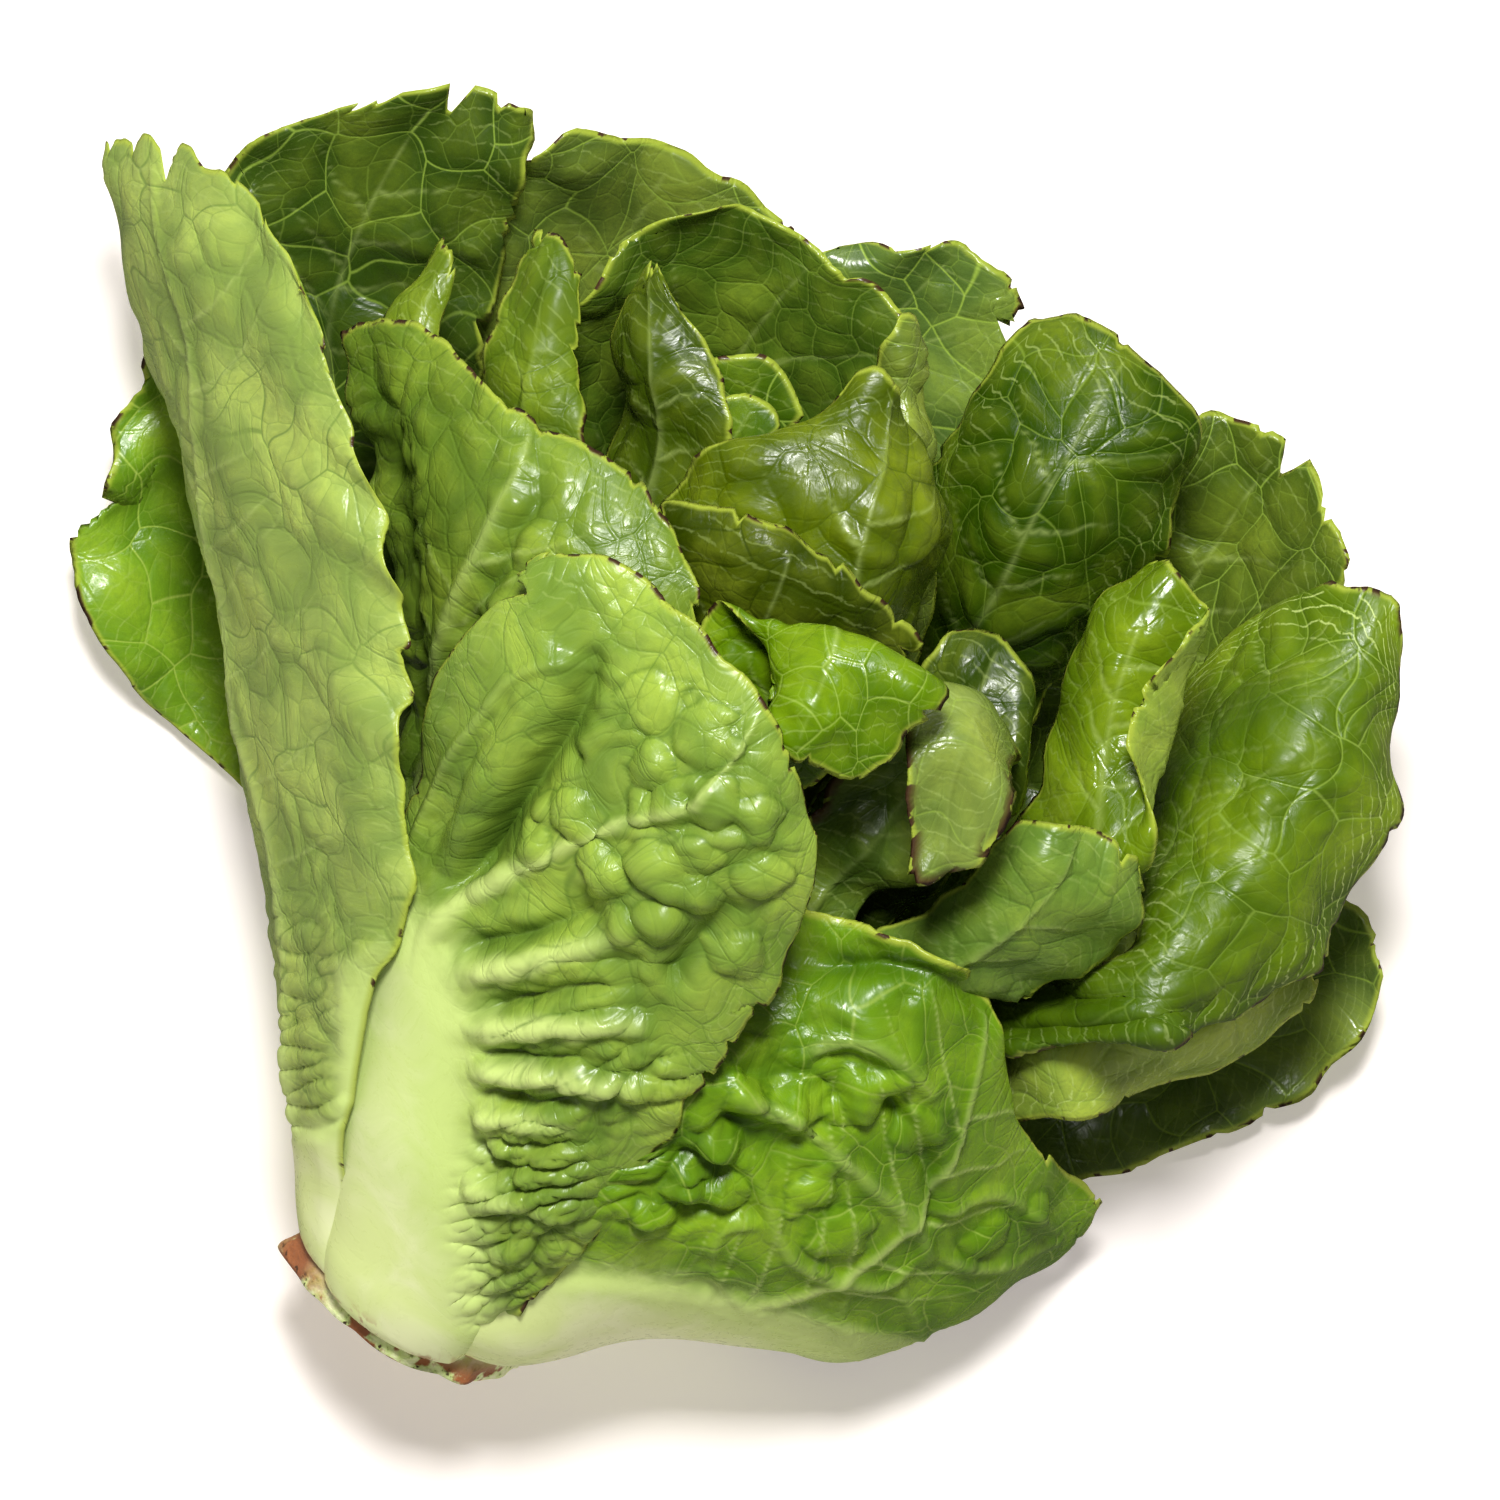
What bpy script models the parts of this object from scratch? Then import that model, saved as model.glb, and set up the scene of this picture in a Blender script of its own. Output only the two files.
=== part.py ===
"""Little gem lettuce: one cut head lying on its side, leaf by leaf.

The head lies with its stem towards -Y and its crown towards +Y, on the plane Z = 0.
The leaves are described in millimetres from the middle of the stem's cut end: x across the
head, y from the stem towards the crown, z up from the table. build_head() turns them into
solids in metres, with the origin under the middle of the head.
"""

import math

import bmesh
import bpy
import numpy as np
from mathutils import Vector
from mathutils.bvhtree import BVHTree

MM = 0.001

# Middle of the whole head in plan, which becomes the origin.
HEAD_CENTRE = (-8.0, 74.4)

# The stem: a blunt cone whose axis climbs from the cut end towards the heart.
STEM_START = np.array([2.0, 1.0, 16.5])
STEM_TILT = math.radians(22)
STEM_LENGTH = 50.0
STEM_BASE_RADIUS = 15.0
STEM_SIDES = 28

# The leaf bases fan out from the stem, inside an outline that widens along it.
OUTLINE_BASE = {"left": 13.5, "right": 17.0, "up": 15.5}
OUTLINE_SLOPE = {"left": 0.72, "right": 0.72, "up": 0.32}

# Leaf thickness at the foot of the midrib and out in the blade.
RIB_THICKNESS = 1.9
BLADE_THICKNESS = 1.0

# Clear space kept between the middle surfaces of two leaves.
LEAF_PITCH = 2.3
LIFT_ROUNDS = 6
PUSH_ROUNDS = 24

# Height above everything, from which the leaves are looked down on.
SKY = 400.0

# How far the resting leaves dip under the table's plane before they are trimmed flat, and
# the space the other leaves keep above it.
TABLE_TRIM = 0.25
TABLE_SPACE = 0.3

# face: which face of the blade looks up; "outer" leaves are above the heart, "inner" ones
# below it. foot: where the leaf leaves the stem, as the distance along it and the bearing
# round it in degrees (90 is up, 180 left), its half width there and at the foot's end, and
# how far along the stem the foot ends. rows: points across the blade, left to right, from
# the foot to the tip.
LEAVES = {
    "lower_left_leaf": {
        "face": "inner", "foot": (1, 228, 6, 13, 24),
        "rows": [
            [(-45, 46, 2), (-36, 48, 0), (-24, 50, 0)],
            [(-71, 52, 8), (-51, 59, 0), (-34, 65, 0)],
            [(-84, 64, 13), (-62, 73, 1), (-42, 79, 1)],
            [(-86, 81, 16), (-68, 87, 4), (-50, 92, 3)],
            [(-90, 93, 19), (-72, 100, 8), (-54, 98, 7)],
        ],
    },
    "lower_right_leaf": {
        "face": "inner", "foot": (1, 312, 6, 13, 24),
        "rows": [
            [(29, 49, 0), (43, 46, 0), (56, 43, 2)],
            [(41, 63, 0), (56, 61, 0), (70, 59, 4)],
            [(50, 79, 2), (67, 77, 1), (84, 76, 7)],
            [(58, 94, 7), (75, 93, 5), (90, 89, 11)],
            [(65, 103, 13), (79, 106, 10), (91, 100, 15)],
        ],
    },
    "under_leaf": {
        "face": "inner", "foot": (2.5, 270, 6, 14, 30),
        "rows": [
            [(-30, 56, 3), (-15, 54, 0), (2, 54, 0)],
            [(-50, 82, 7), (-32, 80, 0), (-8, 80, 0)],
            [(-61, 108, 19), (-40, 106, 4), (-13, 106, 1)],
            [(-62, 130, 28), (-42, 130, 16), (-18, 130, 12)],
            [(-57, 139, 33), (-42, 146, 26), (-20, 145, 22)],
        ],
    },
    "far_left_leaf": {
        "face": "inner", "foot": (7, 238, 6, 11, 30),
        "rows": [
            [(-42, 58, 6), (-30, 58, 4), (-18, 58, 4)],
            [(-66, 82, 13), (-50, 80, 8), (-32, 80, 7)],
            [(-86, 104, 26), (-68, 102, 17), (-46, 102, 13)],
            [(-90, 116, 34), (-72, 120, 27), (-53, 121, 22)],
            [(-82, 128, 37), (-71, 138, 39), (-58, 141, 35)],
        ],
    },
    "far_right_leaf": {
        "face": "inner", "foot": (5, 298, 6, 13, 30),
        "rows": [
            [(8, 56, 0), (22, 54, 0), (36, 54, 2)],
            [(18, 82, 0), (36, 80, 0), (56, 80, 9)],
            [(24, 108, 5), (42, 106, 4), (61, 108, 22)],
            [(27, 132, 17), (42, 132, 15), (60, 128, 30)],
            [(28, 147, 25), (43, 153, 27), (60, 142, 36)],
        ],
    },
    "far_middle_leaf": {
        "face": "inner", "foot": (11, 265, 6, 11, 34),
        "rows": [
            [(-14, 62, 6), (-1, 60, 4.5), (12, 62, 6)],
            [(-25, 92, 12), (-6, 90, 8), (14, 92, 10)],
            [(-28, 120, 24), (-8, 118, 19), (13, 120, 21)],
            [(-25, 138, 33), (-8, 138, 30), (10, 138, 30)],
            [(-19, 144, 35), (-4, 153, 37), (7, 151, 34)],
        ],
    },
    "far_inner_leaf": {
        "face": "inner", "foot": (15, 285, 6, 10, 34),
        "rows": [
            [(0, 62, 10), (6, 61, 9), (12, 60, 8), (18, 61, 9), (24, 62, 10)],
            [(2, 90, 16), (9, 89, 14), (17, 88, 13), (25, 89, 14), (32, 90, 16)],
            [(5, 109, 24), (12, 107, 27), (20, 106, 28), (27, 107, 27), (33, 109, 24)],
            [(5, 120, 31), (12, 118, 39), (21, 117, 42), (28, 118, 39), (35, 120, 31)],
            [(5, 132, 38), (12, 131, 45), (20, 131, 49), (28, 130, 46), (37, 129, 37)],
            [(5, 143, 42), (12, 144, 46), (20, 145, 49), (28, 143, 47), (37, 139, 40)],
            [(6, 150, 42), (13, 153, 44), (20, 153, 46), (27, 151, 45), (35, 144, 41)],
        ],
    },
    "right_ragged_leaf": {
        "face": "inner", "foot": (9, 332, 6, 10, 36),
        "rows": [
            [(32, 58, 16), (39, 55, 15), (45, 52, 16)],
            [(42, 71, 28), (51, 68, 40), (60, 62, 38)],
            [(48, 80, 32), (61, 78, 40), (71, 73, 31)],
            [(54, 90, 34), (67, 89, 38), (80, 85, 27)],
            [(60, 101, 34), (71, 100, 35), (82, 95, 27)],
        ],
    },
    "right_broad_leaf": {
        "face": "inner", "foot": (18, 315, 6, 10, 38),
        "rows": [
            [(26, 60, 14), (30, 60, 13), (34, 60, 13), (38, 60, 15), (42, 60, 19)],
            [(44, 74, 22), (49, 75, 27), (55, 76, 35), (60, 77, 39), (65, 77, 36)],
            [(55, 82, 41), (59, 83, 46), (64, 83, 47), (68, 84, 43), (72, 84, 36)],
            [(57, 92, 43), (61, 93, 49), (66, 93, 49), (72, 93, 44), (78, 92, 36)],
            [(51, 104, 27), (57, 104, 42), (64, 105, 49), (72, 105, 46), (80, 104, 36)],
            [(47, 116, 20), (54, 117, 36), (62, 118, 47), (71, 118, 46), (79, 116, 37)],
            [(48, 127, 23), (54, 128, 35), (60, 129, 44), (67, 129, 45), (75, 126, 38)],
            [(53, 136, 31), (56, 139, 38), (60, 141, 43), (64, 142, 44), (67, 141, 42)],
        ],
    },
    "heart_back_leaf": {
        "face": "inner", "foot": (26, 262, 5, 9, 42),
        "rows": [
            [(-14, 66, 20), (-8, 65, 18), (-3, 64, 17), (3, 65, 18), (8, 66, 20)],
            [(-32, 92, 37), (-24, 91, 27), (-14, 90, 23), (-5, 91, 26), (3, 92, 34)],
            [(-43, 113, 53), (-34, 111, 40), (-21, 109, 33), (-8, 111, 38), (1, 113, 49)],
            [(-42, 129, 61), (-35, 130, 52), (-22, 130, 46), (-9, 130, 50), (3, 125, 58)],
            [(-37, 138, 62), (-29, 142, 60), (-19, 143, 59), (-8, 141, 60), (0, 134, 61)],
        ],
    },
    "heart_side_leaf": {
        "face": "inner", "foot": (32, 296, 4, 8, 44),
        "rows": [
            [(4, 66, 27), (11, 64, 25), (18, 66, 27)],
            [(5, 90, 40), (12, 89, 39), (19, 91, 40)],
            [(2, 105, 53), (9, 104, 54), (17, 104, 49)],
            [(-1, 117, 62), (6, 116, 64), (14, 115, 57)],
            [(-6, 129, 68), (0, 128, 68), (8, 124, 60)],
            [(-8, 140, 70), (-5, 142, 68), (0, 136, 62)],
        ],
    },
    "right_rolled_leaf": {
        "face": "inner", "foot": (22, 342, 5, 8, 40),
        "rows": [
            [(21, 60, 30), (25, 59, 30), (28, 58, 30), (32, 59, 31), (35, 60, 32)],
            [(28, 80, 38), (33, 79, 41), (38, 79, 44), (43, 80, 44), (48, 82, 38)],
            [(37, 94, 48), (42, 93, 53), (47, 93, 58), (51, 94, 60), (54, 97, 58)],
            [(36, 101, 50), (40, 101, 56), (45, 101, 59), (51, 103, 60), (49, 105, 64)],
            [(34, 108, 50), (38, 108, 56), (42, 107, 58), (49, 109, 59), (42, 109, 65)],
            [(31, 118, 52), (35, 118, 57), (39, 117, 59), (46, 117, 59), (41, 118, 66)],
            [(32, 127, 52), (35, 127, 56), (38, 126, 59), (45, 124, 59), (41, 125, 65)],
            [(33, 132, 52), (36, 132, 55), (38, 131, 58), (43, 129, 59), (42, 129, 62)],
        ],
    },
    "heart_bud_back": {
        "face": "inner", "foot": (44, 250, 3, 4, 48),
        "rows": [
            [(-18, 86, 50), (-14, 86, 49), (-10, 86, 50)],
            [(-22, 104, 57), (-16, 103, 55), (-11, 104, 57)],
            [(-26, 118, 64), (-18, 117, 61), (-11, 118, 63)],
            [(-25, 124, 66), (-18, 128, 66), (-10, 123, 66)],
        ],
    },
    "heart_bud_front": {
        "face": "outer", "foot": (46, 100, 3, 3, 49),
        "rows": [
            [(-16, 86, 54), (-13, 86, 54), (-10, 86, 54)],
            [(-20, 104, 62), (-15, 103, 61), (-11, 104, 62)],
            [(-22, 115, 67), (-17, 115, 66), (-12, 114, 67)],
            [(-22, 120, 69), (-17, 123, 69), (-12, 121, 69)],
        ],
    },
    "heart_rolled_leaf": {
        "face": "outer", "foot": (38, 125, 4, 7, 46),
        "rows": [
            [(-14, 70, 44), (-7, 70, 47), (0, 70, 46)],
            [(-25, 92, 50), (-17, 92, 58), (-9, 92, 60)],
            [(-31, 110, 56), (-24, 110, 66), (-15, 112, 70)],
            [(-37, 121, 60), (-30, 120, 69), (-20, 121, 73)],
            [(-40, 130, 63), (-37, 131, 68), (-33, 130, 71)],
        ],
    },
    "left_tiny_leaf": {
        "face": "outer", "foot": (16, 202, 3, 4, 40),
        "rows": [
            [(-30, 60, 32), (-26, 60, 34), (-22, 60, 36)],
            [(-48, 84, 38), (-43, 83, 41), (-38, 83, 43)],
            [(-63, 106, 42), (-57, 105, 46), (-52, 106, 46)],
            [(-63, 121, 42), (-60, 121, 45), (-55, 113, 46)],
        ],
    },
    "left_narrow_leaf": {
        "face": "outer", "foot": (20, 165, 4, 6, 40),
        "rows": [
            [(-24, 62, 45), (-18, 62, 49), (-12, 62, 52)],
            [(-36, 84, 52), (-29, 83, 58), (-21, 84, 62)],
            [(-47, 104, 57), (-39, 103, 62), (-29, 103, 65)],
            [(-52, 117, 59), (-45, 117, 63), (-37, 114, 64)],
            [(-53, 128, 59), (-48, 128, 61), (-43, 125, 62)],
        ],
    },
    "heart_dark_leaf": {
        "face": "outer", "foot": (28, 28, 5, 8, 42),
        "rows": [
            [(15, 64, 40), (21, 62, 41), (27, 62, 37)],
            [(14, 82, 47), (24, 80, 48), (33, 82, 38)],
            [(16, 99, 52), (26, 98, 53), (37, 98, 39)],
            [(17, 110, 50), (24, 113, 51), (34, 107, 40)],
        ],
    },
    "heart_front_leaf": {
        "face": "outer", "foot": (34, 80, 5, 9, 44),
        "rows": [
            [(-6, 68, 47), (0, 68, 50), (5, 68, 50), (9, 68, 48), (13, 68, 45)],
            [(-19, 94, 58), (-8, 93, 65), (3, 92, 66), (9, 93, 61), (14, 95, 50)],
            [(-22, 106, 65), (-9, 105, 72), (5, 106, 75), (11, 107, 68), (15, 107, 55)],
            [(-19, 115, 69), (-9, 117, 75), (2, 117, 78), (9, 116, 71), (14, 114, 56)],
            [(-12, 124, 72), (-6, 125, 76), (0, 125, 76), (6, 124, 71), (11, 121, 59)],
            [(-8, 131, 73), (-6, 133, 74), (-4, 133, 74), (0, 131, 71), (4, 128, 65)],
        ],
    },
    "heart_collar_leaf": {
        "face": "outer", "foot": (26, 92, 6, 10, 42),
        "rows": [
            [(-8, 64, 50), (3, 64, 53), (14, 64, 50)],
            [(-17, 83, 56), (0, 81, 62), (15, 83, 55)],
            [(-21, 95, 64), (-2, 94, 69), (16, 96, 58)],
            [(-22, 103, 73), (-3, 104, 80), (17, 102, 68)],
            [(-22, 106, 75), (-5, 111, 82), (18, 107, 72)],
        ],
    },
    "right_inner_leaf": {
        "face": "outer", "foot": (12, 20, 6, 10, 38),
        "rows": [
            [(18, 58, 48), (27, 55, 48), (36, 54, 42)],
            [(26, 70, 52), (35, 67, 54), (44, 68, 46)],
            [(33, 80, 57), (42, 78, 61), (53, 80, 50)],
            [(35, 88, 62), (45, 88, 67), (57, 88, 54)],
            [(35, 93, 65), (44, 97, 69), (55, 98, 60)],
        ],
    },
    "folded_leaf": {
        "face": "outer", "foot": (17, 58, 6, 8, 42),
        "rows": [
            [(12, 56, 50), (18, 55, 51), (25, 56, 48)],
            [(13, 76, 54), (21, 75, 56), (30, 76, 50)],
            [(16, 92, 62), (24, 92, 62), (35, 92, 54)],
            [(18, 101, 71), (25, 104, 70), (34, 101, 63)],
            [(18, 99, 77), (26, 100, 79), (34, 97, 74)],
            [(21, 93, 79), (28, 92, 80), (36, 91, 76)],
            [(25, 86, 79), (31, 86, 79), (37, 87, 76)],
            [(28, 81, 77), (31, 81, 77), (35, 84, 76)],
        ],
    },
    "bright_leaf": {
        "face": "outer", "foot": (20, 88, 6, 9, 42),
        "rows": [
            [(-6, 60, 57), (2, 58, 60), (10, 60, 57)],
            [(-9, 78, 62), (2, 78, 65), (12, 79, 60)],
            [(-10, 90, 70), (3, 91, 72), (16, 92, 66)],
            [(-9, 96, 78), (5, 103, 81), (20, 101, 74)],
            [(-5, 96, 82), (7, 98, 88), (21, 97, 80)],
            [(1, 92, 83), (9, 86, 85), (21, 87, 78)],
        ],
    },
    "front_second_leaf": {
        "face": "outer", "foot": (9, 125, 7, 12, 40),
        "rows": [
            [(-34, 60, 46), (-28, 60, 56), (-20, 60, 63), (-8, 60, 68), (5, 58, 67)],
            [(-44, 78, 48), (-38, 77, 62), (-28, 77, 73), (-14, 76, 78), (2, 74, 77)],
            [(-57, 93, 48), (-50, 93, 64), (-38, 93, 78), (-22, 92, 83), (-5, 88, 82)],
            [(-69, 105, 48), (-59, 110, 62), (-43, 107, 75), (-25, 107, 82), (-9, 98, 83)],
        ],
    },
    "right_outer_leaf": {
        "face": "outer", "foot": (3, 20, 10.5, 16, 16),
        "rows": [
            [(9, 25, 45), (22, 22, 43), (30, 18, 34), (35, 17, 22), (34, 19, 9)],
            [(11, 41, 52), (29, 36, 51), (43, 28, 37), (51, 24, 21), (51, 23, 6)],
            [(12, 55, 56), (33, 51, 54), (51, 43, 39), (62, 36, 21), (65, 38, 5)],
            [(13, 63, 58), (35, 61, 58), (50, 57, 45), (63, 50, 25), (72, 49, 7)],
            [(15, 70, 60), (33, 74, 61), (46, 73, 53), (57, 61, 32), (73, 58, 11)],
        ],
    },
    "front_leaf": {
        "face": "outer", "foot": (1, 98, 9, 17, 32),
        "rows": [
            [(-30, 44, 53), (-22, 43, 60), (-13, 43, 64), (2, 42, 66), (19, 36, 59)],
            [(-30, 58, 61), (-22, 59, 71), (-11, 60, 75), (4, 58, 78), (21, 51, 68)],
            [(-35, 74, 69), (-25, 77, 80), (-9, 78, 86), (6, 75, 88), (22, 65, 76)],
            [(-31, 94, 76), (-21, 97, 84), (-7, 94, 91), (6, 89, 90), (18, 79, 81)],
        ],
    },
    "left_outer_leaf": {
        "face": "outer", "foot": (2, 168, 9, 14, 30),
        "rows": [
            [(-44, 46, 20), (-47, 47, 30), (-42, 46, 43), (-33, 46, 53), (-22, 46, 58)],
            [(-58, 59, 22), (-57, 60, 36), (-49, 60, 51), (-41, 60, 61), (-31, 59, 66)],
            [(-72, 75, 23), (-70, 76, 38), (-61, 77, 55), (-51, 77, 65), (-40, 76, 71)],
            [(-90, 91, 25), (-86, 93, 40), (-75, 94, 56), (-66, 95, 66), (-57, 93, 71)],
            [(-107, 110, 30), (-102, 113, 39), (-93, 115, 50), (-84, 113, 58), (-72, 105, 67)],
        ],
    },
}

# Leaves from the table up; the stem is laid in before the first leaf above it.
FIRST_ABOVE_STEM = "heart_bud_front"
RESTING = ("lower_left_leaf", "lower_right_leaf", "under_leaf", "far_right_leaf")

GREEN_OUTER = (0.19, 0.33, 0.06, 1.0)
GREEN_INNER = (0.09, 0.23, 0.03, 1.0)
STEM_WHITE = (0.78, 0.78, 0.55, 1.0)


def stem_point(along):
    """Point on the stem's axis at a distance from the cut end."""
    return STEM_START + along * np.array([0.0, math.cos(STEM_TILT), math.sin(STEM_TILT)])


def stem_out(angle):
    """Direction away from the stem's axis, at an angle round it from the right-hand side."""
    return np.array([math.cos(angle), -math.sin(angle) * math.sin(STEM_TILT),
                     math.sin(angle) * math.cos(STEM_TILT)])


def stem_radius(along):
    """Radius of the blunt cone, from the cut end to its rounded tip."""
    share = min(max(along / STEM_LENGTH, 0.0), 1.0)
    return STEM_BASE_RADIUS * (1.0 - share ** 1.5) ** 0.8


def outline_radius(along, bearing):
    """Distance from the stem's axis to the head's outside, at a bearing round the axis."""
    side = "left" if math.cos(bearing) < 0 else "right"
    across = OUTLINE_BASE[side] + OUTLINE_SLOPE[side] * along
    if math.sin(bearing) > 0:
        upright = OUTLINE_BASE["up"] + OUTLINE_SLOPE["up"] * along
    else:
        upright = (stem_point(along)[2] - RIB_THICKNESS) / math.cos(STEM_TILT)
    return 1.0 / math.hypot(math.cos(bearing) / across, math.sin(bearing) / upright)


def foot_rows(leaf, columns):
    """Rows that carry a leaf from the stem out to its blade, between its neighbours."""
    start, bearing, foot_width, half_width, end = leaf["foot"]
    turn = -1.0 if leaf["face"] == "outer" else 1.0
    distances = [start]
    for along in (start + 9, end * 0.6, end):
        if along - distances[-1] > 6 and along <= end:
            distances.append(along)
    rows = []
    for along in distances:
        spread = (along - start) / max(end - start, 1.0)
        width = foot_width * (1 - spread) + half_width * spread
        share = (1.0 - start / along) ** 0.8
        row = []
        for column in range(columns):
            across = 2.0 * column / (columns - 1) - 1.0
            inner = stem_radius(along) + RIB_THICKNESS / 2 + 0.4
            reach = inner + share * max(outline_radius(along, math.radians(bearing)) - inner, 0)
            angle = math.radians(bearing) + turn * across * width / reach
            reach = inner + share * max(outline_radius(along, angle) - inner, 0)
            row.append(stem_point(along) + reach * stem_out(angle))
        rows.append(row)
    return rows


def spline_weights(knots, samples):
    """Weights of a smooth curve through evenly spaced knots, one row for each sample."""
    weights = np.zeros((samples, knots))
    for index, place in enumerate(np.linspace(0, knots - 1, samples)):
        first = min(int(place), knots - 2)
        t = place - first
        blend = (-0.5 * t + t * t - 0.5 * t ** 3, 1 - 2.5 * t * t + 1.5 * t ** 3,
                 0.5 * t + 2 * t * t - 1.5 * t ** 3, -0.5 * t * t + 0.5 * t ** 3)
        for step, weight in zip((-1, 0, 1, 2), blend):
            knot = first + step
            if knot < 0:
                weights[index, 0] += 2 * weight
                weights[index, 1] -= weight
            elif knot >= knots:
                weights[index, -1] += 2 * weight
                weights[index, -2] -= weight
            else:
                weights[index, knot] += weight
    return weights


def leaf_sheet(leaf):
    """Middle surface of a leaf as a grid of points: rows along it, columns across it."""
    columns = len(leaf["rows"][0])
    net = np.array(foot_rows(leaf, columns) + leaf["rows"], dtype=float)
    across = 9 if columns == 5 else 7
    along = 13 if columns == 5 else 11
    return np.einsum("ik,klc,jl->ijc", spline_weights(len(net), along), net,
                     spline_weights(columns, across))


def sheet_thickness(shape):
    """Thickness at each grid point: thick along the foot of the midrib, thin in the blade."""
    along = np.linspace(0, 1, shape[0])[:, None]
    across = np.linspace(-1, 1, shape[1])[None, :]
    rib = np.clip(1 - 1.6 * along, 0, 1) * np.exp(-(across / 0.8) ** 2)
    return BLADE_THICKNESS + (RIB_THICKNESS - BLADE_THICKNESS) * rib


def sheet_faces(shape):
    rows, columns = shape[:2]
    return [(r * columns + c, r * columns + c + 1, (r + 1) * columns + c + 1, (r + 1) * columns + c)
            for r in range(rows - 1) for c in range(columns - 1)]


def sheet_tree(sheet):
    return BVHTree.FromPolygons([Vector(p) for p in sheet.reshape(-1, 3)], sheet_faces(sheet.shape))


def neighbour_mean(field):
    """Mean of each grid point's neighbours along and across the sheet."""
    padded = np.pad(field, [(1, 1), (1, 1)] + [(0, 0)] * (field.ndim - 2), mode="edge")
    return (padded[:-2, 1:-1] + padded[2:, 1:-1] + padded[1:-1, :-2] + padded[1:-1, 2:]) / 4


def lift_over(sheet, lower):
    """Raise a leaf until it lies clear above every leaf already laid below it."""
    down, up = Vector((0, 0, -1)), Vector((0, 0, 1))
    faces = sheet_faces(sheet.shape)
    for _ in range(LIFT_ROUNDS):
        need = np.zeros(sheet.shape[:2])
        flat_need = need.reshape(-1)
        tree = sheet_tree(sheet)
        for points, other in lower:
            for index, point in enumerate(sheet.reshape(-1, 3)):
                place, normal, _, _ = other.ray_cast(Vector((point[0], point[1], SKY)), down)
                if place is not None:
                    clear = place.z + LEAF_PITCH / max(abs(normal.z), 0.5) - point[2]
                    flat_need[index] = max(flat_need[index], clear)
            for point in points.reshape(-1, 3):
                place, normal, face, _ = tree.ray_cast(Vector((point[0], point[1], -SKY)), up)
                if place is not None:
                    clear = point[2] + LEAF_PITCH / max(abs(normal.z), 0.5) - place.z
                    for corner in faces[face]:
                        flat_need[corner] = max(flat_need[corner], clear)
        if need.max() < 0.05:
            break
        lift = need.copy()
        for _ in range(10):
            lift = np.maximum(need, neighbour_mean(lift))
        sheet[:, :, 2] += lift
    return sheet


def push_apart(sheets, stem_tree):
    """Ease apart leaves that still come closer than the pitch, each keeping to its side."""
    names = list(sheets)
    for _ in range(PUSH_ROUNDS):
        trees = {name: sheet_tree(sheets[name]) for name in names}
        boxes = {n: (sheets[n].reshape(-1, 3).min(0) - LEAF_PITCH,
                     sheets[n].reshape(-1, 3).max(0) + LEAF_PITCH) for n in names}
        moves = {}
        for name in names:
            move = np.zeros_like(sheets[name])
            for index in np.ndindex(*move.shape[:2]):
                point = sheets[name][index]
                for other in names:
                    low, high = boxes[other]
                    if other == name or (point < low).any() or (point > high).any():
                        continue
                    place, _, _, gap = trees[other].find_nearest(Vector(point), LEAF_PITCH)
                    if place is not None and gap > 1e-4:
                        move[index] += 0.5 * (LEAF_PITCH - gap) / gap * (point - np.array(place))
                place, normal, _, _ = stem_tree.find_nearest(Vector(point), LEAF_PITCH)
                if place is not None:
                    side = (Vector(point) - place).dot(normal)
                    move[index] += max(LEAF_PITCH - side, 0.0) * np.array(normal)
            moves[name] = 0.6 * move + 0.4 * neighbour_mean(move)
        for name in names:
            sheets[name] += moves[name]
            keep_off_table(name, sheets[name])
    return sheets


def keep_off_table(name, sheet):
    """Hold a sheet's underside at the table; a resting leaf dips just into its trim."""
    dip = TABLE_TRIM if name in RESTING else -TABLE_SPACE
    sheet[:, :, 2] = np.maximum(sheet[:, :, 2], sheet_thickness(sheet.shape) / 2 - dip)


def stem_profile():
    """Distances along the stem and radii in millimetres, from the cut's middle to the tip."""
    profile = [(0.0, 0.0), (0.0, STEM_BASE_RADIUS - 1.2), (1.2, STEM_BASE_RADIUS)]
    profile += [(d, stem_radius(d)) for d in (8, 16, 24, 32, 40, 46, 49)]
    profile.append((STEM_LENGTH, 0.0))
    return profile


def make_material(name, colour, roughness):
    material = bpy.data.materials.new(name)
    material.use_nodes = True
    shader = material.node_tree.nodes["Principled BSDF"]
    shader.inputs["Base Color"].default_value = colour
    shader.inputs["Roughness"].default_value = roughness
    material.diffuse_color = colour
    return material


def make_stem(collection):
    """Turn the stem's profile about its axis, then tilt it into place."""
    mesh = bpy.data.meshes.new("stem_core")
    points = [(radius * MM, 0.0, along * MM) for along, radius in reversed(stem_profile())]
    edges = [(i, i + 1) for i in range(len(points) - 1)]
    mesh.from_pydata(points, edges, [])
    stem = bpy.data.objects.new("stem_core", mesh)
    collection.objects.link(stem)
    screw = stem.modifiers.new("turn", "SCREW")
    screw.steps = STEM_SIDES
    screw.render_steps = STEM_SIDES
    screw.use_merge_vertices = True
    screw.merge_threshold = 0.00005
    stem.location = to_metres(STEM_START)
    stem.rotation_euler = (STEM_TILT - math.pi / 2, 0, 0)
    mesh.materials.append(make_material("stem_white", STEM_WHITE, 0.5))
    return stem


def to_metres(point):
    return ((point[0] - HEAD_CENTRE[0]) * MM, (point[1] - HEAD_CENTRE[1]) * MM, point[2] * MM)


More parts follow.
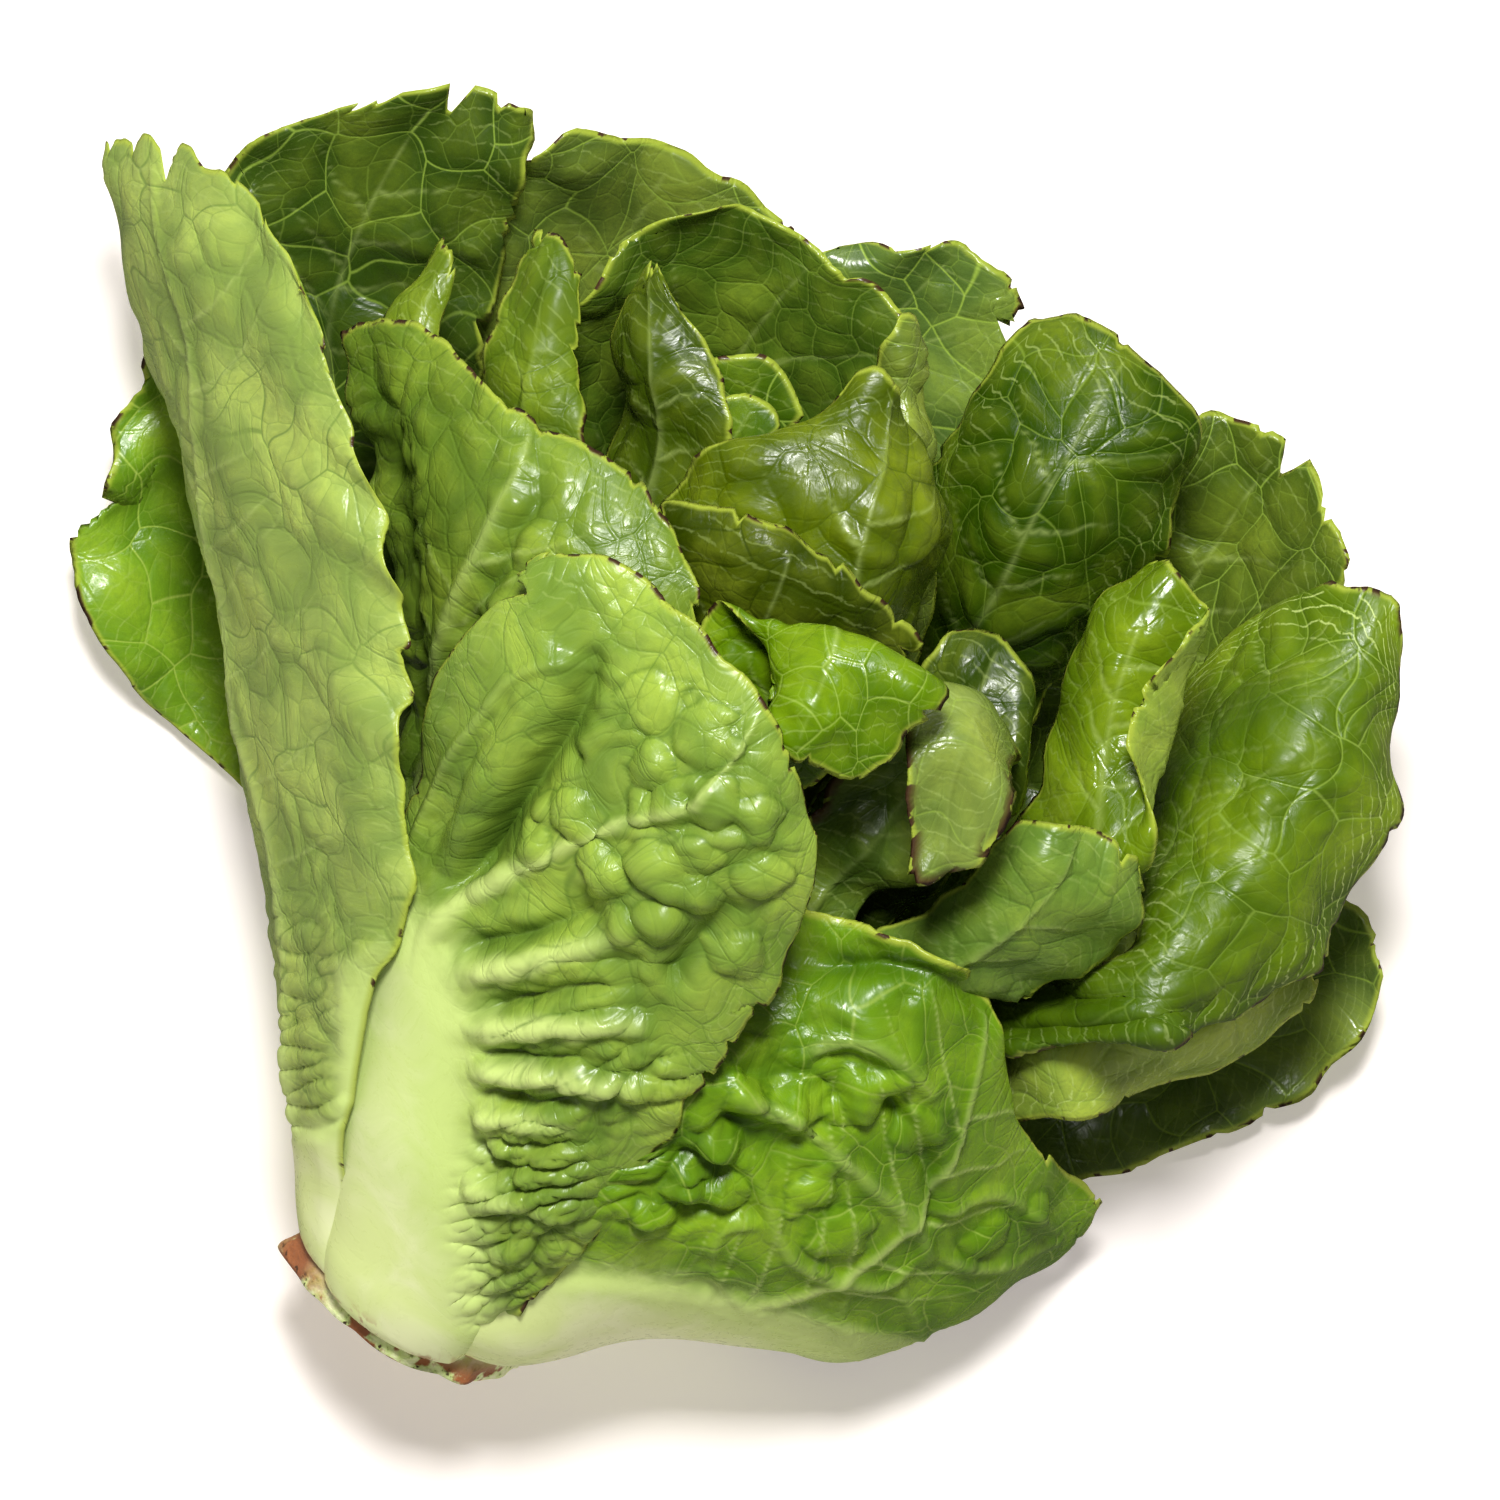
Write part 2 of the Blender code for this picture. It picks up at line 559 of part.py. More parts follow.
def make_leaf(name, sheet, collection, cutter):
    """Lay a grid over the sheet's points and give it its thickness."""
    rows, columns = sheet.shape[:2]
    bm = bmesh.new()
    bmesh.ops.create_grid(bm, x_segments=columns - 1, y_segments=rows - 1, size=1.0)
    bm.verts.ensure_lookup_table()
    for vertex, point in zip(bm.verts, sheet.reshape(-1, 3)):
        vertex.co = to_metres(point)
    mesh = bpy.data.meshes.new(name)
    bm.to_mesh(mesh)
    bm.free()
    leaf = bpy.data.objects.new(name, mesh)
    collection.objects.link(leaf)
    group = leaf.vertex_groups.new(name="thickness")
    for index, thickness in enumerate(sheet_thickness(sheet.shape).reshape(-1)):
        group.add([index], thickness / RIB_THICKNESS, "REPLACE")
    solidify = leaf.modifiers.new("thickness", "SOLIDIFY")
    solidify.thickness = RIB_THICKNESS * MM
    solidify.offset = 0.0
    solidify.vertex_group = "thickness"
    if name in RESTING:
        trim = leaf.modifiers.new("rest_flat", "BOOLEAN")
        trim.operation = "DIFFERENCE"
        trim.object = cutter
    colour = GREEN_OUTER if LEAVES[name]["face"] == "outer" else GREEN_INNER
    mesh.materials.append(make_material(name + "_green", colour, 0.45))
    return leaf


def make_cutter(collection):
    """A slab whose top is the table's plane."""
    bpy.ops.mesh.primitive_cube_add(size=1.0, location=(0, 0, -0.01))
    cutter = bpy.context.active_object
    cutter.name = "table_cutter"
    cutter.scale = (0.4, 0.4, 0.02)
    cutter.hide_render = True
    cutter.display_type = "WIRE"
    for owner in list(cutter.users_collection):
        owner.objects.unlink(cutter)
    collection.objects.link(cutter)
    return cutter


def stem_surface_tree():
    """The stem's surface in head millimetres, for keeping the leaves off it."""
    profile = stem_profile()
    points, faces = [], []
    for along, radius in profile:
        for side in range(STEM_SIDES):
            angle = 2 * math.pi * side / STEM_SIDES
            points.append(Vector(stem_point(along) + radius * stem_out(angle)))
    for ring in range(len(profile) - 1):
        for side in range(STEM_SIDES):
            nxt = (side + 1) % STEM_SIDES
            faces.append((ring * STEM_SIDES + side, (ring + 1) * STEM_SIDES + side,
                          (ring + 1) * STEM_SIDES + nxt, ring * STEM_SIDES + nxt))
    return points, faces


def lay_leaves():
    """All the sheets, laid from the table up and eased apart."""
    stem_points, stem_faces = stem_surface_tree()
    stem_tree = BVHTree.FromPolygons(stem_points, stem_faces)
    lower, sheets = [], {}
    for name, leaf in LEAVES.items():
        if name == FIRST_ABOVE_STEM:
            lower.append((np.array([tuple(p) for p in stem_points]), stem_tree))
        sheet = leaf_sheet(leaf)
        keep_off_table(name, sheet)
        lift_over(sheet, lower)
        lower.append((sheet, sheet_tree(sheet)))
        sheets[name] = sheet
    return push_apart(sheets, stem_tree)


def build_head():
    for old in list(bpy.data.objects):
        bpy.data.objects.remove(old)
    scene = bpy.context.scene.collection
    head = bpy.data.collections.new("little_gem_lettuce")
    guides = bpy.data.collections.new("cutters")
    scene.children.link(head)
    scene.children.link(guides)
    cutter = make_cutter(guides)
    make_stem(head)
    for name, sheet in lay_leaves().items():
        make_leaf(name, sheet, head, cutter)


build_head()
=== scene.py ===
# %% [markdown]
# Little gem lettuce: one cut head lying on its side. The real head is a short cone of stem
# with some two dozen leaves growing from it, so this script makes one piece for the stem and
# one for each leaf. Every leaf starts as a coarse sheet laid among its neighbours, is
# smoothed into a fine one with a torn and ruffled margin, and gets its blisters, ribs and
# thickness from one Geometry Nodes tree. The plain solids are the frame that it all fits.

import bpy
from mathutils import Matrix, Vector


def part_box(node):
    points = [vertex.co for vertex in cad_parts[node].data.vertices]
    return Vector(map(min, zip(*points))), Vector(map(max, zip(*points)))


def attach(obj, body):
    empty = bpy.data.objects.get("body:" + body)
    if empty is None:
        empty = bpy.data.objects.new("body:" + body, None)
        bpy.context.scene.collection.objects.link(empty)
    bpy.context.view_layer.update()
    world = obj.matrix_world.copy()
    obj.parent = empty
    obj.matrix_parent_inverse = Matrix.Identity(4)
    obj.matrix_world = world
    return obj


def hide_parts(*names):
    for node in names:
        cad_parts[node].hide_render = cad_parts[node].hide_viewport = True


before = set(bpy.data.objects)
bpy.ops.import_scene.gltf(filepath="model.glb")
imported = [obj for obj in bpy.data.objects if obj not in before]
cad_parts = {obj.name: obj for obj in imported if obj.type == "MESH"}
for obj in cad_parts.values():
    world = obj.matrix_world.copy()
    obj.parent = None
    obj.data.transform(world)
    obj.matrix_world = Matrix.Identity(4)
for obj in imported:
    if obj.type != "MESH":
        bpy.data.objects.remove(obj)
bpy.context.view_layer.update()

# %% Modules and the head's own measure
import math

import bpy
import numpy as np
from mathutils import Vector
from mathutils.bvhtree import BVHTree
from mathutils.kdtree import KDTree

MM = 0.001
HEAD_CENTRE = (-8.0, 74.4)
print("1 mm is", MM, "m; the head's middle in plan is", HEAD_CENTRE, "mm from the stem's cut")


def to_metres(points):
    """Head millimetres, measured from the middle of the cut, to metres about the origin."""
    return (points - np.array([HEAD_CENTRE[0], HEAD_CENTRE[1], 0.0])) * MM


# %% [markdown]
# A cut head is looked at from above as it lies on the table. A long lens keeps the leaves in
# proportion, because a near camera would swell the ones on top.

# %% Camera
VIEW_CENTRE = (0.0119, 0.0101, 0.05)
VIEW_WIDTH = 0.1875
VIEW_TURN = math.radians(30)
CAMERA_HEIGHT = 2.0
SENSOR_WIDTH = 36.0

camera_data = bpy.data.cameras.new("camera")
camera_data.sensor_width = SENSOR_WIDTH
camera_data.lens = SENSOR_WIDTH * (CAMERA_HEIGHT - VIEW_CENTRE[2]) / VIEW_WIDTH
camera = bpy.data.objects.new("camera", camera_data)
camera.location = (VIEW_CENTRE[0], VIEW_CENTRE[1], CAMERA_HEIGHT)
camera.rotation_euler = (0.0, 0.0, VIEW_TURN)
bpy.context.scene.collection.objects.link(camera)
bpy.context.scene.camera = camera
print("lens", round(camera_data.lens), "mm at", CAMERA_HEIGHT, "m")

# %% [markdown]
# Leaves look fresh in soft daylight with one clear direction. A soft box beyond the crown
# gives the small bright glints on the blisters, and weaker boxes from the stem's side keep
# the shade open. An area light is the tool for this: its size alone says how soft a shadow is.

# %% Soft boxes


def soft_box(name, place, size, power, glossy=True):
    """A square area light that looks at the head and stays out of the camera's sight."""
    light = bpy.data.lights.new(name, "AREA")
    light.size = size
    light.energy = power
    lamp = bpy.data.objects.new(name, light)
    lamp.location = place
    lamp.rotation_euler = (Vector(VIEW_CENTRE) - Vector(place)).to_track_quat("-Z", "Y").to_euler()
    lamp.visible_camera = False
    lamp.visible_glossy = glossy
    bpy.context.scene.collection.objects.link(lamp)


soft_box("key_light", (-0.17, 0.36, 1.05), 0.22, 16.5)
soft_box("back_light", (-0.48, 0.82, 0.70), 0.50, 3.0)
soft_box("fill_light", (-0.55, -0.60, 0.60), 0.60, 0.6)
soft_box("front_light", (0.30, -0.80, 0.42), 0.60, 1.4, glossy=False)

# %% [markdown]
# A pale world fills what the soft boxes leave. The floor is plain and pale with a faint glow
# of its own, as a lit studio table has, and it stays out of the gloss, because the wax on a
# leaf is too thin and rough to mirror it.

# %% World and floor
WORLD_STRENGTH = 0.12
WORLD_TINT = (1.0, 0.94, 0.88, 1.0)
FLOOR_SIZE = 30.0
FLOOR_COLOUR = (0.86, 0.80, 0.76, 1.0)
FLOOR_ROUGHNESS = 0.9
FLOOR_SHINE = 0.1
FLOOR_GLOW = 0.30
GLOW_TINT = (1.0, 0.92, 0.88, 1.0)

world = bpy.data.worlds.new("pale_room")
bpy.context.scene.world = world
world.use_nodes = True
room = world.node_tree.nodes["Background"]
room.inputs["Color"].default_value = WORLD_TINT
room.inputs["Strength"].default_value = WORLD_STRENGTH
bpy.context.scene.view_settings.view_transform = "Standard"

bpy.ops.mesh.primitive_plane_add(size=FLOOR_SIZE, location=(0.0, 0.0, 0.0))
floor = bpy.context.active_object
floor.name = "floor"
floor_paint = bpy.data.materials.new("pale_floor")
floor_paint.use_nodes = True
floor_shader = floor_paint.node_tree.nodes["Principled BSDF"]
floor_shader.inputs["Base Color"].default_value = FLOOR_COLOUR
floor_shader.inputs["Roughness"].default_value = FLOOR_ROUGHNESS
floor_shader.inputs["Specular IOR Level"].default_value = FLOOR_SHINE
floor_shader.inputs["Emission Color"].default_value = GLOW_TINT
floor_shader.inputs["Emission Strength"].default_value = FLOOR_GLOW
floor.data.materials.append(floor_paint)
floor.visible_glossy = False
print("floor:", FLOOR_SIZE, "m square")

# %% [markdown]
# The stem is a blunt cone whose axis climbs from the cut towards the heart. The leaf bases
# fan out round it inside an outline that widens along it. These are the driving sizes of the
# whole head, in millimetres.

# %% The stem's sizes
STEM_START = np.array([2.0, 1.0, 16.5])
STEM_TILT = math.radians(22)
STEM_LENGTH = 50.0
STEM_BASE_RADIUS = 15.0
STEM_SIDES = 28
OUTLINE_BASE = {"left": 13.5, "right": 17.0, "up": 15.5}
OUTLINE_SLOPE = {"left": 0.72, "right": 0.72, "up": 0.32}
RIB_THICKNESS = 1.9
BLADE_THICKNESS = 1.0
LEAF_PITCH = 2.3
PUSH_ROUNDS = 24
TABLE_TRIM = 0.25
TABLE_CLEARANCE = 0.3


def stem_point(along):
    """Point on the stem's axis at a distance from the cut end."""
    return STEM_START + along * np.array([0.0, math.cos(STEM_TILT), math.sin(STEM_TILT)])


def stem_radius(along):
    """Radius of the blunt cone, from the cut end to its rounded tip."""
    share = min(max(along / STEM_LENGTH, 0.0), 1.0)
    return STEM_BASE_RADIUS * (1.0 - share ** 1.5) ** 0.8


def stem_out(angle):
    """Direction straight out of the stem at a bearing round it."""
    return np.array([math.cos(angle), -math.sin(angle) * math.sin(STEM_TILT),
                     math.sin(angle) * math.cos(STEM_TILT)])


def outline_radius(along, bearing):
    """Distance from the stem's axis to the head's outside, at a bearing round the axis."""
    side = "left" if math.cos(bearing) < 0 else "right"
    across = OUTLINE_BASE[side] + OUTLINE_SLOPE[side] * along
    if math.sin(bearing) > 0:
        upright = OUTLINE_BASE["up"] + OUTLINE_SLOPE["up"] * along
    else:
        upright = (stem_point(along)[2] - RIB_THICKNESS) / math.cos(STEM_TILT)
    return 1.0 / math.hypot(math.cos(bearing) / across, math.sin(bearing) / upright)


print("stem tip at", stem_point(STEM_LENGTH).round(1))

# %% [markdown]
# Each leaf is a small net of points, from the table up. "face" says which face of the blade
# looks up: "outer" above the heart and "inner" below it. "foot" says where the leaf leaves
# the stem: the distance along it, the bearing round it in degrees, the half width there and
# at the foot's end, and where the foot ends. "rows" are points across the blade, left to
# right, from the foot to the tip. A net is the quickest way to place a leaf among others,
# because moving one point moves only that corner of the blade. First come the leaves that
# lie on the table or just over it.

# %% Nets of the leaves on the table side
LEAVES = {}


def add_leaf(name, face, foot, *rows):
    """Adds a leaf on top of those already there."""
    LEAVES[name] = {"face": face, "foot": foot, "rows": list(rows)}


add_leaf("lower_left_leaf", "inner", (1, 228, 6, 13, 24),
    [(-45, 46, 2), (-36, 48, 0), (-24, 50, 0)],
    [(-71, 52, 8), (-51, 59, 0), (-34, 65, 0)],
    [(-84, 64, 13), (-62, 73, 1), (-42, 79, 1)],
    [(-86, 81, 16), (-68, 87, 4), (-50, 92, 3)],
    [(-90, 93, 19), (-72, 100, 8), (-54, 98, 7)])
add_leaf("lower_right_leaf", "inner", (1, 312, 6, 13, 24),
    [(29, 49, 0), (43, 46, 0), (56, 43, 2)],
    [(41, 63, 0), (56, 61, 0), (70, 59, 4)],
    [(50, 79, 2), (67, 77, 1), (84, 76, 7)],
    [(58, 94, 7), (75, 93, 5), (90, 89, 11)],
    [(65, 103, 13), (79, 106, 10), (91, 100, 15)])
add_leaf("under_leaf", "inner", (2.5, 270, 6, 14, 30),
    [(-30, 56, 3), (-15, 54, 0), (2, 54, 0)],
    [(-50, 82, 7), (-32, 80, 0), (-8, 80, 0)],
    [(-61, 108, 19), (-40, 106, 4), (-13, 106, 1)],
    [(-62, 130, 28), (-42, 130, 16), (-18, 130, 12)],
    [(-57, 139, 33), (-42, 146, 26), (-20, 145, 22)])
add_leaf("far_left_leaf", "inner", (7, 238, 6, 11, 30),
    [(-42, 58, 6), (-30, 58, 4), (-18, 58, 4)],
    [(-66, 82, 13), (-50, 80, 8), (-32, 80, 7)],
    [(-86, 104, 26), (-68, 102, 17), (-46, 102, 13)],
    [(-90, 116, 34), (-72, 120, 27), (-53, 121, 22)],
    [(-82, 128, 37), (-71, 138, 39), (-58, 141, 35)])
add_leaf("far_right_leaf", "inner", (5, 298, 6, 13, 30),
    [(8, 56, 0), (22, 54, 0), (36, 54, 2)],
    [(18, 82, 0), (36, 80, 0), (56, 80, 9)],
    [(24, 108, 5), (42, 106, 4), (61, 108, 22)],
    [(27, 132, 17), (42, 132, 15), (60, 128, 30)],
    [(28, 147, 25), (43, 153, 27), (60, 142, 36)])
add_leaf("far_middle_leaf", "inner", (11, 265, 6, 11, 34),
    [(-14, 62, 6), (-1, 60, 4.5), (12, 62, 6)],
    [(-25, 92, 12), (-6, 90, 8), (14, 92, 10)],
    [(-28, 120, 24), (-8, 118, 19), (13, 120, 21)],
    [(-25, 138, 33), (-8, 138, 30), (10, 138, 30)],
    [(-19, 144, 35), (-4, 153, 37), (7, 151, 34)])
add_leaf("far_inner_leaf", "inner", (15, 285, 6, 10, 34),
    [(0, 62, 10), (6, 61, 9), (12, 60, 8), (18, 61, 9), (24, 62, 10)],
    [(2, 90, 16), (9, 89, 14), (17, 88, 13), (25, 89, 14), (32, 90, 16)],
    [(5, 109, 24), (12, 107, 27), (20, 106, 28), (27, 107, 27), (33, 109, 24)],
    [(5, 120, 31), (12, 118, 39), (21, 117, 42), (28, 118, 39), (35, 120, 31)],
    [(5, 132, 38), (12, 131, 45), (20, 131, 49), (28, 130, 46), (37, 129, 37)],
    [(5, 143, 42), (12, 144, 46), (20, 145, 49), (28, 143, 47), (37, 139, 40)],
    [(6, 150, 42), (13, 153, 44), (20, 153, 46), (27, 151, 45), (35, 144, 41)])
print("table side:", list(LEAVES))

# %% [markdown]
# Next come the leaves that open to the right and those behind the heart. Their inner faces
# still look up, and they stand steeper the nearer they are to the middle of the head.

# %% Nets of the opened leaves and the hood
add_leaf("right_ragged_leaf", "inner", (9, 332, 6, 10, 36),
    [(32, 58, 16), (39, 55, 15), (45, 52, 16)],
    [(42, 71, 28), (51, 68, 40), (60, 62, 38)],
    [(48, 80, 32), (61, 78, 40), (71, 73, 31)],
    [(54, 90, 34), (67, 89, 38), (80, 85, 27)],
    [(60, 101, 34), (71, 100, 35), (82, 95, 27)])
add_leaf("right_broad_leaf", "inner", (18, 315, 6, 10, 38),
    [(26, 60, 14), (30, 60, 13), (34, 60, 13), (38, 60, 15), (42, 60, 19)],
    [(44, 74, 22), (49, 75, 27), (55, 76, 35), (60, 77, 39), (65, 77, 36)],
    [(55, 82, 41), (59, 83, 46), (64, 83, 47), (68, 84, 43), (72, 84, 36)],
    [(57, 92, 43), (61, 93, 49), (66, 93, 49), (72, 93, 44), (78, 92, 36)],
    [(51, 104, 27), (57, 104, 42), (64, 105, 49), (72, 105, 46), (80, 104, 36)],
    [(47, 116, 20), (54, 117, 36), (62, 118, 47), (71, 118, 46), (79, 116, 37)],
    [(48, 127, 23), (54, 128, 35), (60, 129, 44), (67, 129, 45), (75, 126, 38)],
    [(53, 136, 31), (56, 139, 38), (60, 141, 43), (64, 142, 44), (67, 141, 42)])
add_leaf("heart_back_leaf", "inner", (26, 262, 5, 9, 42),
    [(-14, 66, 20), (-8, 65, 18), (-3, 64, 17), (3, 65, 18), (8, 66, 20)],
    [(-32, 92, 37), (-24, 91, 27), (-14, 90, 23), (-5, 91, 26), (3, 92, 34)],
    [(-43, 113, 53), (-34, 111, 40), (-21, 109, 33), (-8, 111, 38), (1, 113, 49)],
    [(-42, 129, 61), (-35, 130, 52), (-22, 130, 46), (-9, 130, 50), (3, 125, 58)],
    [(-37, 138, 62), (-29, 142, 60), (-19, 143, 59), (-8, 141, 60), (0, 134, 61)])
add_leaf("heart_side_leaf", "inner", (32, 296, 4, 8, 44),
    [(4, 66, 27), (11, 64, 25), (18, 66, 27)],
    [(5, 90, 40), (12, 89, 39), (19, 91, 40)],
    [(2, 105, 53), (9, 104, 54), (17, 104, 49)],
    [(-1, 117, 62), (6, 116, 64), (14, 115, 57)],
    [(-6, 129, 68), (0, 128, 68), (8, 124, 60)],
    [(-8, 140, 70), (-5, 142, 68), (0, 136, 62)])
add_leaf("right_rolled_leaf", "inner", (22, 342, 5, 8, 40),
    [(21, 60, 30), (25, 59, 30), (28, 58, 30), (32, 59, 31), (35, 60, 32)],
    [(28, 80, 38), (33, 79, 41), (38, 79, 44), (43, 80, 44), (48, 82, 38)],
    [(37, 94, 48), (42, 93, 53), (47, 93, 58), (51, 94, 60), (54, 97, 58)],
    [(36, 101, 50), (40, 101, 56), (45, 101, 59), (51, 103, 60), (49, 105, 64)],
    [(34, 108, 50), (38, 108, 56), (42, 107, 58), (49, 109, 59), (42, 109, 65)],
    [(31, 118, 52), (35, 118, 57), (39, 117, 59), (46, 117, 59), (41, 118, 66)],
    [(32, 127, 52), (35, 127, 56), (38, 126, 59), (45, 124, 59), (41, 125, 65)],
    [(33, 132, 52), (36, 132, 55), (38, 131, 58), (43, 129, 59), (42, 129, 62)])
add_leaf("heart_bud_back", "inner", (44, 250, 3, 4, 48),
    [(-18, 86, 50), (-14, 86, 49), (-10, 86, 50)],
    [(-22, 104, 57), (-16, 103, 55), (-11, 104, 57)],
    [(-26, 118, 64), (-18, 117, 61), (-11, 118, 63)],
    [(-25, 124, 66), (-18, 128, 66), (-10, 123, 66)])
print("with the opened leaves:", len(LEAVES))

# %% [markdown]
# Above the stem's tip the leaves turn over: from here on it is the outer face that looks up.
# The heart's own leaves are small, tightly cupped and closely packed.

# %% Nets of the heart
add_leaf("heart_bud_front", "outer", (46, 100, 3, 3, 49),
    [(-16, 86, 54), (-13, 86, 54), (-10, 86, 54)],
    [(-20, 104, 62), (-15, 103, 61), (-11, 104, 62)],
    [(-22, 115, 67), (-17, 115, 66), (-12, 114, 67)],
    [(-22, 120, 69), (-17, 123, 69), (-12, 121, 69)])
add_leaf("heart_rolled_leaf", "outer", (38, 125, 4, 7, 46),
    [(-14, 70, 44), (-7, 70, 47), (0, 70, 46)],
    [(-25, 92, 50), (-17, 92, 58), (-9, 92, 60)],
    [(-31, 110, 56), (-24, 110, 66), (-15, 112, 70)],
    [(-37, 121, 60), (-30, 120, 69), (-20, 121, 73)],
    [(-40, 130, 63), (-37, 131, 68), (-33, 130, 71)])
add_leaf("left_tiny_leaf", "outer", (16, 202, 3, 4, 40),
    [(-30, 60, 32), (-26, 60, 34), (-22, 60, 36)],
    [(-48, 84, 38), (-43, 83, 41), (-38, 83, 43)],
    [(-63, 106, 42), (-57, 105, 46), (-52, 106, 46)],
    [(-63, 121, 42), (-60, 121, 45), (-55, 113, 46)])
add_leaf("left_narrow_leaf", "outer", (20, 165, 4, 6, 40),
    [(-24, 62, 45), (-18, 62, 49), (-12, 62, 52)],
    [(-36, 84, 52), (-29, 83, 58), (-21, 84, 62)],
    [(-47, 104, 57), (-39, 103, 62), (-29, 103, 65)],
    [(-52, 117, 59), (-45, 117, 63), (-37, 114, 64)],
    [(-53, 128, 59), (-48, 128, 61), (-43, 125, 62)])
add_leaf("heart_dark_leaf", "outer", (28, 28, 5, 8, 42),
    [(15, 64, 40), (21, 62, 41), (27, 62, 37)],
    [(14, 82, 47), (24, 80, 48), (33, 82, 38)],
    [(16, 99, 52), (26, 98, 53), (37, 98, 39)],
    [(17, 110, 50), (24, 113, 51), (34, 107, 40)])
add_leaf("heart_front_leaf", "outer", (34, 80, 5, 9, 44),
    [(-6, 68, 47), (0, 68, 50), (5, 68, 50), (9, 68, 48), (13, 68, 45)],
    [(-19, 94, 58), (-8, 93, 65), (3, 92, 66), (9, 93, 61), (14, 95, 50)],
    [(-22, 106, 65), (-9, 105, 72), (5, 106, 75), (11, 107, 68), (15, 107, 55)],
    [(-19, 115, 69), (-9, 117, 75), (2, 117, 78), (9, 116, 71), (14, 114, 56)],
    [(-12, 124, 72), (-6, 125, 76), (0, 125, 76), (6, 124, 71), (11, 121, 59)],
    [(-8, 131, 73), (-6, 133, 74), (-4, 133, 74), (0, 131, 71), (4, 128, 65)])
add_leaf("heart_collar_leaf", "outer", (26, 92, 6, 10, 42),
    [(-8, 64, 50), (3, 64, 53), (14, 64, 50)],
    [(-17, 83, 56), (0, 81, 62), (15, 83, 55)],
    [(-21, 95, 64), (-2, 94, 69), (16, 96, 58)],
    [(-22, 103, 73), (-3, 104, 80), (17, 102, 68)],
    [(-22, 106, 75), (-5, 111, 82), (18, 107, 72)])
print("with the heart:", len(LEAVES))

# %% [markdown]
# Last come the leaves that close the head from above. The largest wraps half of the stem, and
# one blade is folded back on itself, which its rows follow over the bend and down again.

# %% Nets of the outer leaves on top
add_leaf("right_inner_leaf", "outer", (12, 20, 6, 10, 38),
    [(18, 58, 48), (27, 55, 48), (36, 54, 42)],
    [(26, 70, 52), (35, 67, 54), (44, 68, 46)],
    [(33, 80, 57), (42, 78, 61), (53, 80, 50)],
    [(35, 88, 62), (45, 88, 67), (57, 88, 54)],
    [(35, 93, 65), (44, 97, 69), (55, 98, 60)])
add_leaf("folded_leaf", "outer", (17, 58, 6, 8, 42),
    [(12, 56, 50), (18, 55, 51), (25, 56, 48)],
    [(13, 76, 54), (21, 75, 56), (30, 76, 50)],
    [(16, 92, 62), (24, 92, 62), (35, 92, 54)],
    [(18, 101, 71), (25, 104, 70), (34, 101, 63)],
    [(18, 99, 77), (26, 100, 79), (34, 97, 74)],
    [(21, 93, 79), (28, 92, 80), (36, 91, 76)],
    [(25, 86, 79), (31, 86, 79), (37, 87, 76)],
    [(28, 81, 77), (31, 81, 77), (35, 84, 76)])
add_leaf("bright_leaf", "outer", (20, 88, 6, 9, 42),
    [(-6, 60, 57), (2, 58, 60), (10, 60, 57)],
    [(-9, 78, 62), (2, 78, 65), (12, 79, 60)],
    [(-10, 90, 70), (3, 91, 72), (16, 92, 66)],
    [(-9, 96, 78), (5, 103, 81), (20, 101, 74)],
    [(-5, 96, 82), (7, 98, 88), (21, 97, 80)],
    [(1, 92, 83), (9, 86, 85), (21, 87, 78)])
add_leaf("front_second_leaf", "outer", (9, 125, 7, 12, 40),
    [(-34, 60, 46), (-28, 60, 56), (-20, 60, 63), (-8, 60, 68), (5, 58, 67)],
    [(-44, 78, 48), (-38, 77, 62), (-28, 77, 73), (-14, 76, 78), (2, 74, 77)],
    [(-57, 93, 48), (-50, 93, 64), (-38, 93, 78), (-22, 92, 83), (-5, 88, 82)],
    [(-69, 105, 48), (-59, 110, 62), (-43, 107, 75), (-25, 107, 82), (-9, 98, 83)])
add_leaf("right_outer_leaf", "outer", (3, 20, 10.5, 16, 16),
    [(9, 25, 45), (22, 22, 43), (30, 18, 34), (35, 17, 22), (34, 19, 9)],
    [(11, 41, 52), (29, 36, 51), (43, 28, 37), (51, 24, 21), (51, 23, 6)],
    [(12, 55, 56), (33, 51, 54), (51, 43, 39), (62, 36, 21), (65, 38, 5)],
    [(13, 63, 58), (35, 61, 58), (50, 57, 45), (63, 50, 25), (72, 49, 7)],
    [(15, 70, 60), (33, 74, 61), (46, 73, 53), (57, 61, 32), (73, 58, 11)])
add_leaf("front_leaf", "outer", (1, 98, 9, 17, 32),
    [(-30, 44, 53), (-22, 43, 60), (-13, 43, 64), (2, 42, 66), (19, 36, 59)],
    [(-30, 58, 61), (-22, 59, 71), (-11, 60, 75), (4, 58, 78), (21, 51, 68)],
    [(-35, 74, 69), (-25, 77, 80), (-9, 78, 86), (6, 75, 88), (22, 65, 76)],
    [(-31, 94, 76), (-21, 97, 84), (-7, 94, 91), (6, 89, 90), (18, 79, 81)])
add_leaf("left_outer_leaf", "outer", (2, 168, 9, 14, 30),
    [(-44, 46, 20), (-47, 47, 30), (-42, 46, 43), (-33, 46, 53), (-22, 46, 58)],
    [(-58, 59, 22), (-57, 60, 36), (-49, 60, 51), (-41, 60, 61), (-31, 59, 66)],
    [(-72, 75, 23), (-70, 76, 38), (-61, 77, 55), (-51, 77, 65), (-40, 76, 71)],
    [(-90, 91, 25), (-86, 93, 40), (-75, 94, 56), (-66, 95, 66), (-57, 93, 71)],
    [(-107, 110, 30), (-102, 113, 39), (-93, 115, 50), (-84, 113, 58), (-72, 105, 67)])
FIRST_ABOVE_STEM = "heart_bud_front"
RESTING = ("lower_left_leaf", "lower_right_leaf", "under_leaf", "far_right_leaf")
print("leaves:", len(LEAVES))

